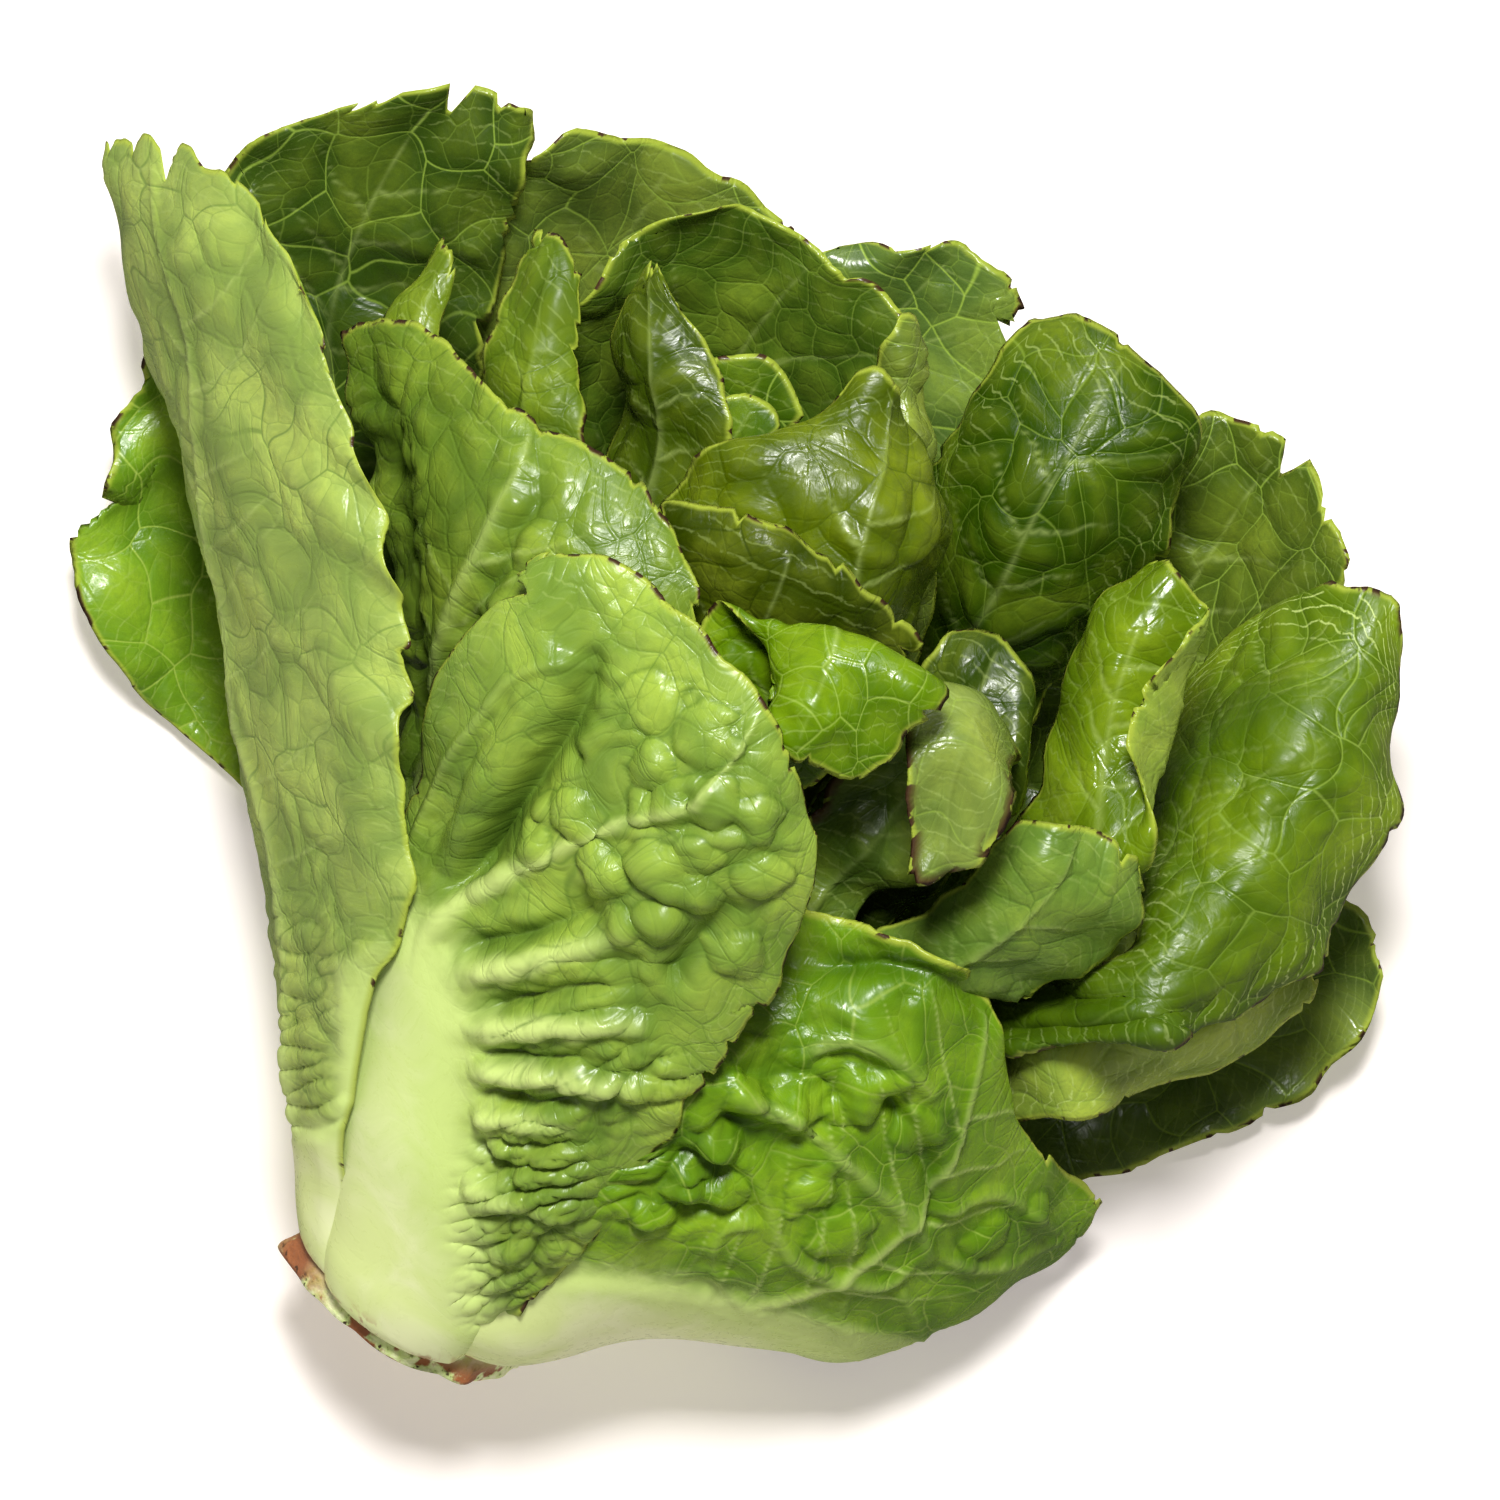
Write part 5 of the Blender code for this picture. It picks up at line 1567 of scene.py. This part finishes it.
# %% Looks of the leaves below and behind
give_look(
    "lower_left_leaf", grain=0.8, dome=0.9, cell=9, inner=(0.165, 0.31, 0.014), lines=1.2,
    scallop=1.0, corner=1.5, tears=(("left", 0.8, 4.0, 9.0),))
give_look(
    "lower_right_leaf", deep=0.3, inner=(0.13, 0.19, 0.034), dome=0.5)
give_look(
    "under_leaf", grain=1.3, inner=(0.12, 0.17, 0.025), white_end=0.34)
give_look(
    "far_left_leaf", deep=0.8, grain=0.85, dome=1.0, cell=9, inner=(0.056, 0.102, 0.009),
    white_end=0.3, lines=0.9, corner=1.0, nicks=6, nick_depth=3.0,
    creases=((-2.0, 6.0, 0.0, ((-75, 108), (-66, 106), (-57, 113), (-53, 120))),),
    tears=(("tip", 0.42, 1.6, 5.0), ("left", 0.86, 1.5, 4.0), ("tip", 0.12, 1.4, 3.0)))
give_look(
    "far_right_leaf", deep=0.8, grain=0.9, nicks=6, tears=(("tip", 0.45, 2.0, 5.0),),
    inner=(0.1, 0.15, 0.013), dome=1.0)
give_look(
    "far_middle_leaf", deep=0.8, grain=0.85, nicks=6, tears=(("right", 0.92, 2.0, 6.0),),
    corner=1.5, inner=(0.105, 0.172, 0.03), cell=9, dome=1.0, lines=1.1)
give_look(
    "far_inner_leaf", deep=0.9, grain=0.8, corner=0.8, inner=(0.04, 0.086, 0.0005), cell=7,
    lines=0.4, comb=0.25, gloss=0.3, shine=0.18,
    creases=((-2.0, 7.0, 0.0, ((22, 118), (27, 112), (34, 108), (42, 106))),))
give_look(
    "right_ragged_leaf", vein_pale=0.15, grain=0.85, nicks=7, inner=(0.37, 0.48, 0.06), comb=0.5,
    outer=(0.18, 0.27, 0.02), corner=1.0)
give_look(
    "right_broad_leaf", deep=0.9, grain=0.7, dome=0.7, cell=8, nicks=9, nick_depth=1.8,
    rib_widths=((0, 1.6), (0.4, 0.8), (1, 0.3)), inner=(0.145, 0.235, 0.004), roll=0.3, comb=0.8,
    brown_from=0.48, brown_reach=1.5,
    midrib_at=((54, 86), (56.8, 99), (56.5, 108), (55.4, 117.6), (56.7, 126.5), (59, 133)),
    corner=2.0, vein_pale=0.45, lines=0.9, spacing=4.6, gloss=0.36, vein_width=0.4,
    # The wide sunken crease paints the shade deep in this leaf's cup.
    creases=((-2.4, 8.0, 0.0, ((62, 128), (57, 117), (54, 106), (52, 96), (50, 88))),))

print("looks so far:", len(LOOKS))

# %% [markdown]
# The heart hardly sees the sun, so its leaves are smooth, glossy and yellow-green, and their
# feet lie in deep shade, which is painted on as well. They are small, so their blisters and
# nicks are smaller too.

# %% Looks of the heart
give_look(
    "heart_back_leaf", deep=0.8, grain=0.8, inner=(0.076, 0.138, 0.01), dome=0.7, cell=6.5,
    lines=0.4, gloss=0.25)
give_look(
    "heart_side_leaf", deep=0.5, grain=0.7, corner=0.8, base_white=0.0, inner=(0.17, 0.23, 0.03),
    dome=1.2, cell=5, wrinkle=0.35)
give_look(
    "right_rolled_leaf", deep=0.6, grain=0.65, inner=(0.145, 0.23, 0.004), outer=(0.3, 0.4, 0.05),
    shine=0.24, dome=0.7, lines=0.4, ruffle=1.0, gloss=0.22)
give_look(
    "heart_bud_back", grain=0.6, inner=(0.07, 0.14, 0.004), ruffle=0.3, roll=0.2, corner=1.0,
    scallop=0.3, nicks=0, dome=0.3)
give_look(
    "heart_bud_front", grain=0.6, outer=(0.08, 0.16, 0.004), ruffle=0.3, roll=0.2, corner=1.0,
    scallop=0.3, nicks=0, dome=0.3)
give_look(
    "heart_rolled_leaf", deep=0.7, grain=0.65, outer=(0.07, 0.11, 0.003), gloss=0.22)
give_look(
    "left_tiny_leaf", grain=0.8, outer=(0.2, 0.28, 0.015))
give_look(
    "left_narrow_leaf", deep=0.8, grain=0.7, outer=(0.12, 0.19, 0.008), gloss=0.36, shine=0.2,
    vein_pale=0.15, ruffle=1.2, corner=0.8, nicks=5)
give_look(
    "heart_dark_leaf", deep=0.8, grain=0.8, outer=(0.045, 0.08, 0.005), gloss=0.24, nicks=0,
    corner=1.5)
give_look(
    "heart_front_leaf", deep=0.7, grain=0.7, outer=(0.098, 0.142, 0.001), shine=0.3, gloss=0.26,
    dome=1.0, cell=7, corner=1.0)
give_look(
    "heart_collar_leaf", deep=0.6, grain=0.7, outer=(0.048, 0.072, 0.001), shine=0.16, corner=1.0,
    ruffle=0.8, dome=0.6)

print("with the heart:", len(LOOKS))

# %% [markdown]
# The leaves on top are seen closest, so their meshes are the finest and their main folds are
# placed one by one. A crease is its height, width, paleness and line in plan, and a sunken one
# gets painted shade, darker the deeper it sinks. A blister is its place, radius and height,
# and a crumple adds how fine it is.

# %% Looks of the outer leaves
give_look(
    "right_inner_leaf", deep=0.7, grain=0.65, white_end=0.1, base_white=0.0,
    outer=(0.17, 0.28, 0.035), dome=1.0, cell=8, corner=1.5)
give_look(
    "folded_leaf", grain=0.65, outer=(0.075, 0.13, 0.012), inner=(0.21, 0.28, 0.05), dome=0.5,
    corner=0.5, brown_from=0.45, brown_reach=2.4, lines=0.5,
    rib_widths=((0, 1.6), (0.5, 0.7), (1, 0.3)), vein_pale=0.12)
give_look(
    "bright_leaf", deep=0.5, grain=0.6, outer=(0.125, 0.235, 0.001), inner=(0.125, 0.235, 0.001),
    dome=1.2, cell=6, gloss=0.24)
give_look(
    "front_second_leaf", deep=0.6, grain=0.65, outer=(0.175, 0.27, 0.025), dome=0.9, cell=6.5,
    brown_from=0.5,
    midrib_at=((-16, 25), (-24, 48), (-30, 62), (-36, 78), (-37, 90), (-38, 100), (-40, 107)),
    rib_widths=((0, 4.0), (0.4, 2.2), (0.8, 1.4), (1, 0.8)), rib_height=1.4, vein_pale=0.5,
    foot_grain=1.5,
    creases=(
        (-1.8, 1.6, 0.0, ((-34, 76), (-34, 88), (-34, 98))),
        (1.0, 1.4, 0.4, ((-35, 82), (-30, 85), (-25, 86), (-20, 88))),
        (-1.2, 1.2, 0.0, ((-34, 79), (-29, 82), (-24, 82))),
        # The wide sunken crease paints the shade along the edge of the leaf above.
        (-2.0, 5.0, 0.0, ((-63, 104), (-53.5, 94.7), (-42, 79.6), (-31.8, 63.9))),
    ))

print("with the outer leaves:", len(LOOKS))

# %% [markdown]
# The two leaves that clasp the stem show their petioles from the side, so the white of each
# is an outline in plan that fades along the leaf.

# %% Looks of the leaves that clasp the stem
give_look(
    "right_outer_leaf", grain=0.55, foot_grain=1.0, dome=-0.8, cell=8, outer=(0.17, 0.325, 0.008),
    gloss=0.26, rib_widths=((0, 4), (0.3, 2.5), (0.6, 1.2), (1, 0.5)), base_white=0.1,
    base_fade=0.05,
    petiole=((-5, -14), (2, 6), (12, 13), (22, 18.5), (36, 24), (90, 40), (90, -40), (0, -40)),
    petiole_fade=12.0, petiole_end=(0.47, 0.27),
    crumples=((21, 34, 11, 1.5, 5.0), (29, 50, 12, 0.9, 6.0)), rib_height=0.8, sheath=6.0,
    sheath_end=0.4, white_end=0.0, rim=1.0, rim_reach=1.4, pale_net=1.0,
    smooth=((34, 14), (38, 36), (42, 46), (44, 62), (30, 70), (60, 82), (90, 60), (80, 20)),
    corner=2.0, brown_from=0.64, wrinkle=0.15, spacing=8, vein_pale=0.75,
    creases=(
        (1.3, 1.2, 0.7, ((21, 46), (28, 47), (36, 46.5), (45, 45), (52, 43), (55, 40))),
        (1.2, 1.3, 0.7, ((27, 54), (32, 59), (37, 60.5), (44, 59))),
        (1.1, 1.0, 0.7, ((54, 41), (52, 35), (47, 32.5), (41, 32), (36, 35), (32, 39))),
        (0.9, 0.9, 0.6, ((51, 44), (57, 50), (62, 52), (68, 51))),
        (0.9, 0.9, 0.6, ((55, 41), (61, 42), (66, 46), (69, 50))),
        (0.7, 0.8, 0.5, ((53, 36), (57, 33), (61, 30))),
        (0.7, 0.8, 0.5, ((48, 32), (50, 28), (54, 25))),
        (0.7, 0.8, 0.5, ((36, 34), (31, 31), (33, 26), (40, 24))),
        (-2.6, 2.0, 0.0, ((23, 43), (29, 43), (33, 44))),
        (-2.2, 2.0, 0.0, ((22, 50), (28, 51), (34, 53))),
        (-2.0, 1.6, 0.0, ((20, 36), (26, 37), (31, 36))),
        (-1.6, 1.6, 0.0, ((24, 30), (29, 33), (33, 35))),
        (-3.4, 2.0, 0.0, ((23, 64.5), (29, 68.5), (36, 70.5), (43, 72), (48, 74))),
        (1.4, 2.0, 0.3, ((24, 61), (32, 62.5), (40, 61), (47, 56), (54, 48))),
        (-2.0, 1.5, 0.0, ((37, 56), (44, 54), (50, 50), (53, 45))),
    ),
    blisters=(
        (25, 47, 3.0, 1.8), (31, 50, 4.0, 2.2), (38, 55, 4.5, 2.4), (46, 54, 4.0, 1.8),
        (25, 40, 3.0, 1.8), (29, 35, 3.2, 1.8), (24, 33, 3.0, 1.6), (22, 28, 3.0, 1.5),
        (44, 38, 4.5, 1.6), (38, 41, 3.5, 1.5), (60, 46, 3.6, 1.4), (64, 52, 3.0, 1.2),
    ))
give_look(
    "left_outer_leaf", grain=0.62, foot_grain=1.0, dome=0.4, cell=8, outer=(0.35, 0.455, 0.095),
    lines=1.5, rib_widths=((0, 3), (0.3, 2.5), (0.5, 1.6), (1, 0.6)), base_white=0.08,
    base_fade=0.06, petiole_fade=9.0,
    petiole=(
        (-99, 60), (-47, 46), (-37, 31), (-22, 14), (-16, 18), (-27, 36), (-24, 42), (-10, 38),
        (0, -2), (-15, -40), (-99, -40),
    ),
    petiole_end=(0.38, 0.2), ruffle=1.0, sheath_end=0.34, scallop=1.4, white_end=0.0, corner=1.0,
    crumples=((-30, 32, 12, 0.7, 5.0), (-22, 20, 9, 0.8, 5.0)),
    midrib_at=((-14, 5), (-28, 24), (-43, 45), (-58, 61), (-76, 84), (-93, 104)), vein_pale=0.4,
    tears=(
        ("tip", 0.28, 1.6, 5.0), ("tip", 0.62, 1.4, 4.0), ("left", 0.45, 1.2, 2.0),
        ("left", 0.62, 1.2, 2.0),
    ),
    brown_from=0.66)

print("with the clasping leaves:", len(LOOKS))

# %% [markdown]
# The front leaf lies on top. Its petiole is a broad white wedge with a green flush. Strong
# laterals leave it to the right with deep folds between them, and its midrib bends away to
# the tip. The blade left of the midrib is folded up and nearly smooth.

# %% Look of the front leaf
give_look(
    "front_leaf", grain=0.48, foot_grain=1.0, dome=0.4, cell=6, outer=(0.265, 0.39, 0.05),
    ruffle=0.8, sheath=4.0, sheath_end=0.5, rib_height=1.3,
    rib_widths=((0, 0.2), (0.43, 0.2), (0.47, 2.3), (0.7, 1.5), (1, 0.5)),
    petiole=(
        (-31, 42), (-26, 46.5), (-17.5, 44), (-10, 38), (-3, 25), (9, 5), (14, -3), (0, -11),
        (-20, 8),
    ),
    petiole_soft=9.0, petiole_fade=20.0, petiole_green=0.38, white_end=0.0, base_white=0.1,
    base_fade=0.1, blade_start=0.56, laterals=0.4, vein_pale=1.0, roll=0.3, corner=2.0,
    midrib_at=((-3, 1), (-9, 17), (-14, 30), (-19, 43), (-14, 56), (-7, 67), (2, 76)),
    tears=(("left", 0.8, 2.4, 6.0),), brown_from=0.5,
    smooth=((-36, 50), (-16, 48), (-15, 60), (-16, 86), (-36, 84)),
    crumples=(
        (0, 45, 13, 0.8, 5.0), (5, 32, 11, 1.3, 4.5), (8, 20, 11, 1.8, 4.5), (11, 9, 7, 1.4, 4.0),
        (13, 42, 8, 1.4, 5.0),
    ),
    creases=(
        (1.8, 1.7, 1.2, ((-13, 42), (-8, 47), (-3, 52), (2, 57))),
        (1.9, 1.6, 1.3, ((-9, 36.5), (-3, 41), (3, 45), (9, 48))),
        (1.9, 1.7, 1.3, ((-6, 32.5), (0, 36), (6, 38.5), (12, 41))),
        (1.6, 1.5, 1.1, ((-3, 28), (2, 30.5), (8, 33))),
        (1.4, 1.6, 0.9, ((0, 20), (5, 21), (11, 22))),
        (-2.4, 1.5, 0.0, ((-15, 45), (-9, 50.5), (-4, 57))),
        (-2.0, 1.2, 0.0, ((-9, 40), (-4, 44.5), (2, 50))),
        (-1.6, 0.9, 0.0, ((-6, 36), (0, 38.5), (6, 42))),
        (-1.6, 1.0, 0.0, ((-4, 31), (2, 33.5), (8, 36))),
        (-2.0, 0.9, 0.0, ((-2, 25.2), (2, 24.6), (6.5, 22.8))),
        (-1.4, 1.0, 0.0, ((4, 29), (6, 29))),
        (-5.4, 2.0, 0.0, ((-19.5, 50), (-18, 58), (-17, 68), (-17, 76), (-18, 83))),
        (2.4, 3.4, 0.0, ((-22, 52), (-22, 62), (-22, 72), (-22, 81))),
        # A broad shallow crease that darkens the folded lobe with painted shade.
        (-1.1, 6.5, 0.0, ((-21, 50), (-22, 60), (-22, 72), (-21, 82))),
        (-1.4, 3.0, 0.0, ((-8, 56), (-1, 57), (5, 52), (9, 50))),
        (-1.0, 1.2, 0.0, ((-24.5, 54), (-25, 64), (-24.5, 74))),
        (1.0, 0.9, 0.5, ((-26.5, 50), (-27, 60), (-27, 70), (-26, 77), (-22, 82), (-15, 84))),
        (-2.4, 2.4, 0.0, ((9, 54), (10, 60), (12, 66))),
        (0.9, 1.0, 0.4, ((-6, 68), (2, 71), (9, 75), (14, 77))),
    ),
    blisters=(
        (-10.5, 67, 3.4, 2.0), (-13.5, 61, 2.8, 1.4), (-5, 77, 3.2, 1.9), (-1, 74, 3.0, 1.9),
        (-4, 72, 2.4, 1.5), (3, 77, 3.4, 1.9), (8.5, 78, 3.0, 1.5), (1.5, 66.5, 4.2, 2.4),
        (-4, 62.5, 3.6, 2.0), (4.5, 61, 3.4, 2.0), (1, 58, 2.8, 1.6), (7, 66, 3.0, 1.8),
        (12.5, 72, 3.6, 1.6), (5, 70, 2.8, 1.5), (-2, 83, 4.4, 1.3), (-9, 84, 4.2, 1.0),
        (15, 62, 3.6, 1.8),
    ))
print("all looks:", len(LOOKS))

# %% [markdown]
# Now every leaf goes through the same steps: fine sheet, ruffles, sheathed foot, lines and
# folds, trimmed margin, named values, blade tree. Each finished blade is a plain mesh with
# its place in its points, and it takes the place of its solid.

# %% One leaf
SMOOTH_BORDER = 8.0
VEIN_HEIGHT = 0.2
LEAF_THICKNESS = 0.55


def make_leaf(name, number):
    """One finished leaf piece: fine sheet, margin, veins, blade tree and paint."""
    look = dict(LOOKS[name])
    points, flat = fine_sheet(sheets[name], look["grain"], look["grain"] * look["foot_grain"])
    points = ruffle_margin(points, look, number)
    points = sheathe_foot(points, look)
    look["midrib"] = midrib_knots(points, look)
    place = blade_place(flat, number)
    relief, pale, groove_shade = crease_fields(points, look, number)
    outwards = 1 if LEAVES[name]["face"] == "outer" else -1
    points = points + outwards * relief[..., None] * normals_of(points)
    rib, vein = vein_fields(points, look, number * 100)
    bleached = plan_patch(points, look["petiole"], look["petiole_fade"])
    bleached = bleached * petiole_share(points, look)
    calm = plan_patch(points, look["smooth"], SMOOTH_BORDER)
    layers = np.dstack([points, place, rib, vein, pale, groove_shade, bleached, calm])
    layers = sample(layers, *trim_margin(points, look, number))
    points, place = layers[..., :3], layers[..., 3:6]
    values = named_values(points, place, layers[..., 6:], look, number)
    mesh = sheet_mesh(name, points, place, values)
    settings = {
        "Blister Size": float(look["cell"]), "Blister Height": look["dome"] * MM,
        "Wrinkle Height": look["wrinkle"] * MM, "Rib Height": look["rib_height"] * MM,
        "Vein Height": VEIN_HEIGHT * MM, "Thickness": LEAF_THICKNESS * MM,
        "Rib On Top": 1.0 if LEAVES[name]["face"] == "outer" else 0.0,
        "Blade Paint": blade_paint(name, look),
    }
    return run_tree(name + "_fine", mesh, BLADE_TREE, settings)


print("a finished blade is", LEAF_THICKNESS, "mm thick")

triangles = 0
for number, name in enumerate(LEAVES):
    leaf = make_leaf(name, number + 1)
    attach(leaf, "root")
    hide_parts(name)
    size = 2 * len(leaf.data.polygons)
    triangles += size
    print(f"{name}: {size} triangles")
print("all leaves:", triangles, "triangles")

# %% [markdown]
# The stem is a turned cone in principle, but a knife and the picker's thumb leave it rough:
# its cut is a shallow dished face with a brown rim, and scars of the lost outermost leaves
# run round its base. One of those leaves was torn away, and left a ragged rusty stub.

# %% The stem's skin
STEM_RINGS = 46
STEM_FINE_SIDES = 160
CUT_RINGS = 18
STUB_TURN = math.radians(158)
STUB_WIDTH = 0.42
STUB_HEIGHT = 3.2
STUB_LENGTH = 6.0
STUB_REACH = 16
CUT_DISH = 0.7


def stem_skin():
    """Rings from the middle of the cut out to its rim, then up the cone to its tip."""
    turn = np.linspace(0, 2 * math.pi, STEM_FINE_SIDES, endpoint=False)
    rings, marks = [], []
    for k in range(1, CUT_RINGS + 1):
        share = k / CUT_RINGS
        rings.append((CUT_DISH * (1 - share ** 2) + 0.18 * ripple(turn * 9 + 5 * share, 5, 7.0),
                      (STEM_BASE_RADIUS - 0.4) * share * (1 + 0.02 * ripple(turn * 6, 6, 9.0))))
        marks.append(share)
    for k in range(1, STEM_RINGS):
        along = STEM_LENGTH * (k / STEM_RINGS) ** 1.3
        scar = 0.8 * math.exp(-(along / 3.0) ** 2) * ripple(turn * 8, 8, 6.0)
        torn = STUB_HEIGHT * math.exp(-(along / STUB_LENGTH) ** 4)
        torn = torn * np.exp(-((turn - STUB_TURN) / STUB_WIDTH) ** 4)
        scar = scar + torn * (0.80 + 0.22 * ripple(turn * 12 + 0.8 * along, 10, 4.0))
        scar = scar + 0.1 * ripple(turn * 10 + along, 9, 5.0)
        rings.append((along + 0 * turn, stem_radius(along) + scar))
        marks.append(1 + along)
    points = [stem_point(CUT_DISH)]
    for along, radius in rings:
        points += [stem_point(a) + r * stem_out(t) for a, r, t in zip(along, radius, turn)]
    points.append(stem_point(STEM_LENGTH))
    return np.array(points), marks


print("stem rings:", CUT_RINGS, "across the cut and", STEM_RINGS - 1, "up the cone")


# %% The stem's mesh
def make_stem():
    """The skin as a closed mesh that knows how far each point is from the cut."""
    points, marks = stem_skin()
    sides, last = STEM_FINE_SIDES, len(points) - 1
    faces = []
    for side in range(sides):
        nxt = (side + 1) % sides
        faces.append((0, 1 + side, 1 + nxt))
        for ring in range(len(marks) - 1):
            low = 1 + ring * sides
            faces.append((low + side, low + sides + side, low + sides + nxt, low + nxt))
        faces.append((last, last - sides + nxt, last - sides + side))
    mesh = bpy.data.meshes.new("stem_core_fine")
    mesh.from_pydata(to_metres(points).tolist(), [], faces)
    mesh.shade_smooth()
    field = np.concatenate([[0.0], np.repeat(marks, sides), [1 + STEM_LENGTH]])
    stub = stem_point(2.0) + STUB_REACH * stem_out(STUB_TURN)
    torn = np.clip(1.3 - np.linalg.norm(points - stub, axis=1) / 9, 0, 1)
    for name, values in (("from_cut", field), ("torn", torn)):
        attribute = mesh.attributes.new(name, "FLOAT", "POINT")
        attribute.data.foreach_set("value", values.astype(np.float32))
    stem = bpy.data.objects.new("stem_core_fine", mesh)
    bpy.context.scene.collection.objects.link(stem)
    return stem


stem = make_stem()
print("stem:", len(stem.data.polygons), "faces")

# %% [markdown]
# Milk from the cut dries and turns from cream to tan and then to rust within a day, first at
# the rim and in the cracks. The rust keeps to patches of noise, so the cut stays partly fresh.

# %% The stem's paint
OXIDISED = (0.66, 0.50, 0.24, 1.0)
STEM_ROUGHNESS = 0.55
STEM_BUMP = 0.0004


def stem_paint():
    """Cream flesh, browned and cracked at the cut and its rim."""
    paint = bpy.data.materials.new("stem_flesh")
    paint.use_nodes = True
    g = Graph(paint.node_tree)
    shader = paint.node_tree.nodes["Principled BSDF"]
    place = g.add("ShaderNodeTexCoord").outputs["Object"]
    from_cut = g.value_of("from_cut")
    patches = g.noise(place, 260.0, 5.0, "3D")
    streaks = g.noise(place, 900.0, 4.0, "3D")
    colour = g.mixed(g.smooth(streaks, 0.3, 0.7), FOOT_CREAM, FOOT_WHITE)
    face = g.smooth(from_cut, 0.98, 1.05, 1.0, 0.0)
    colour = g.mixed(g.product(face, g.smooth(patches, 0.30, 0.65), 0.7), colour, OXIDISED)
    ring = g.product(g.smooth(from_cut, 0.72, 0.92), face, g.smooth(patches, 0.40, 0.60, 0.25, 0.8))
    colour = g.mixed(ring, colour, RUST_BROWN)
    bark = g.smooth(from_cut, 0.80, 1.0)
    rim = g.product(bark, g.smooth(from_cut, 2.0, 7.0, 1.0, 0.0), g.smooth(patches, 0.48, 0.54))
    rim = g.math("MAXIMUM", rim, g.product(bark, g.value_of("torn"), g.smooth(patches, 0.38, 0.50)))
    colour = g.mixed(rim, colour, RUST_BROWN)
    crack = g.product(bark, g.smooth(from_cut, 1.5, 4.0, 1.0, 0.0), g.smooth(streaks, 0.60, 0.66))
    colour = g.mixed(crack, colour, DRIED_BROWN)
    g.feed(shader.inputs["Base Color"], colour)
    shader.inputs["Roughness"].default_value = STEM_ROUGHNESS
    bump = g.add("ShaderNodeBump")
    bump.inputs["Distance"].default_value = STEM_BUMP
    g.feed(bump.inputs["Height"], streaks)
    g.feed(shader.inputs["Normal"], bump)
    return paint


stem.data.materials.append(stem_paint())
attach(stem, "root")
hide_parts("stem_core")
print("stem painted:", [paint.name for paint in stem.data.materials])

# %% [markdown]
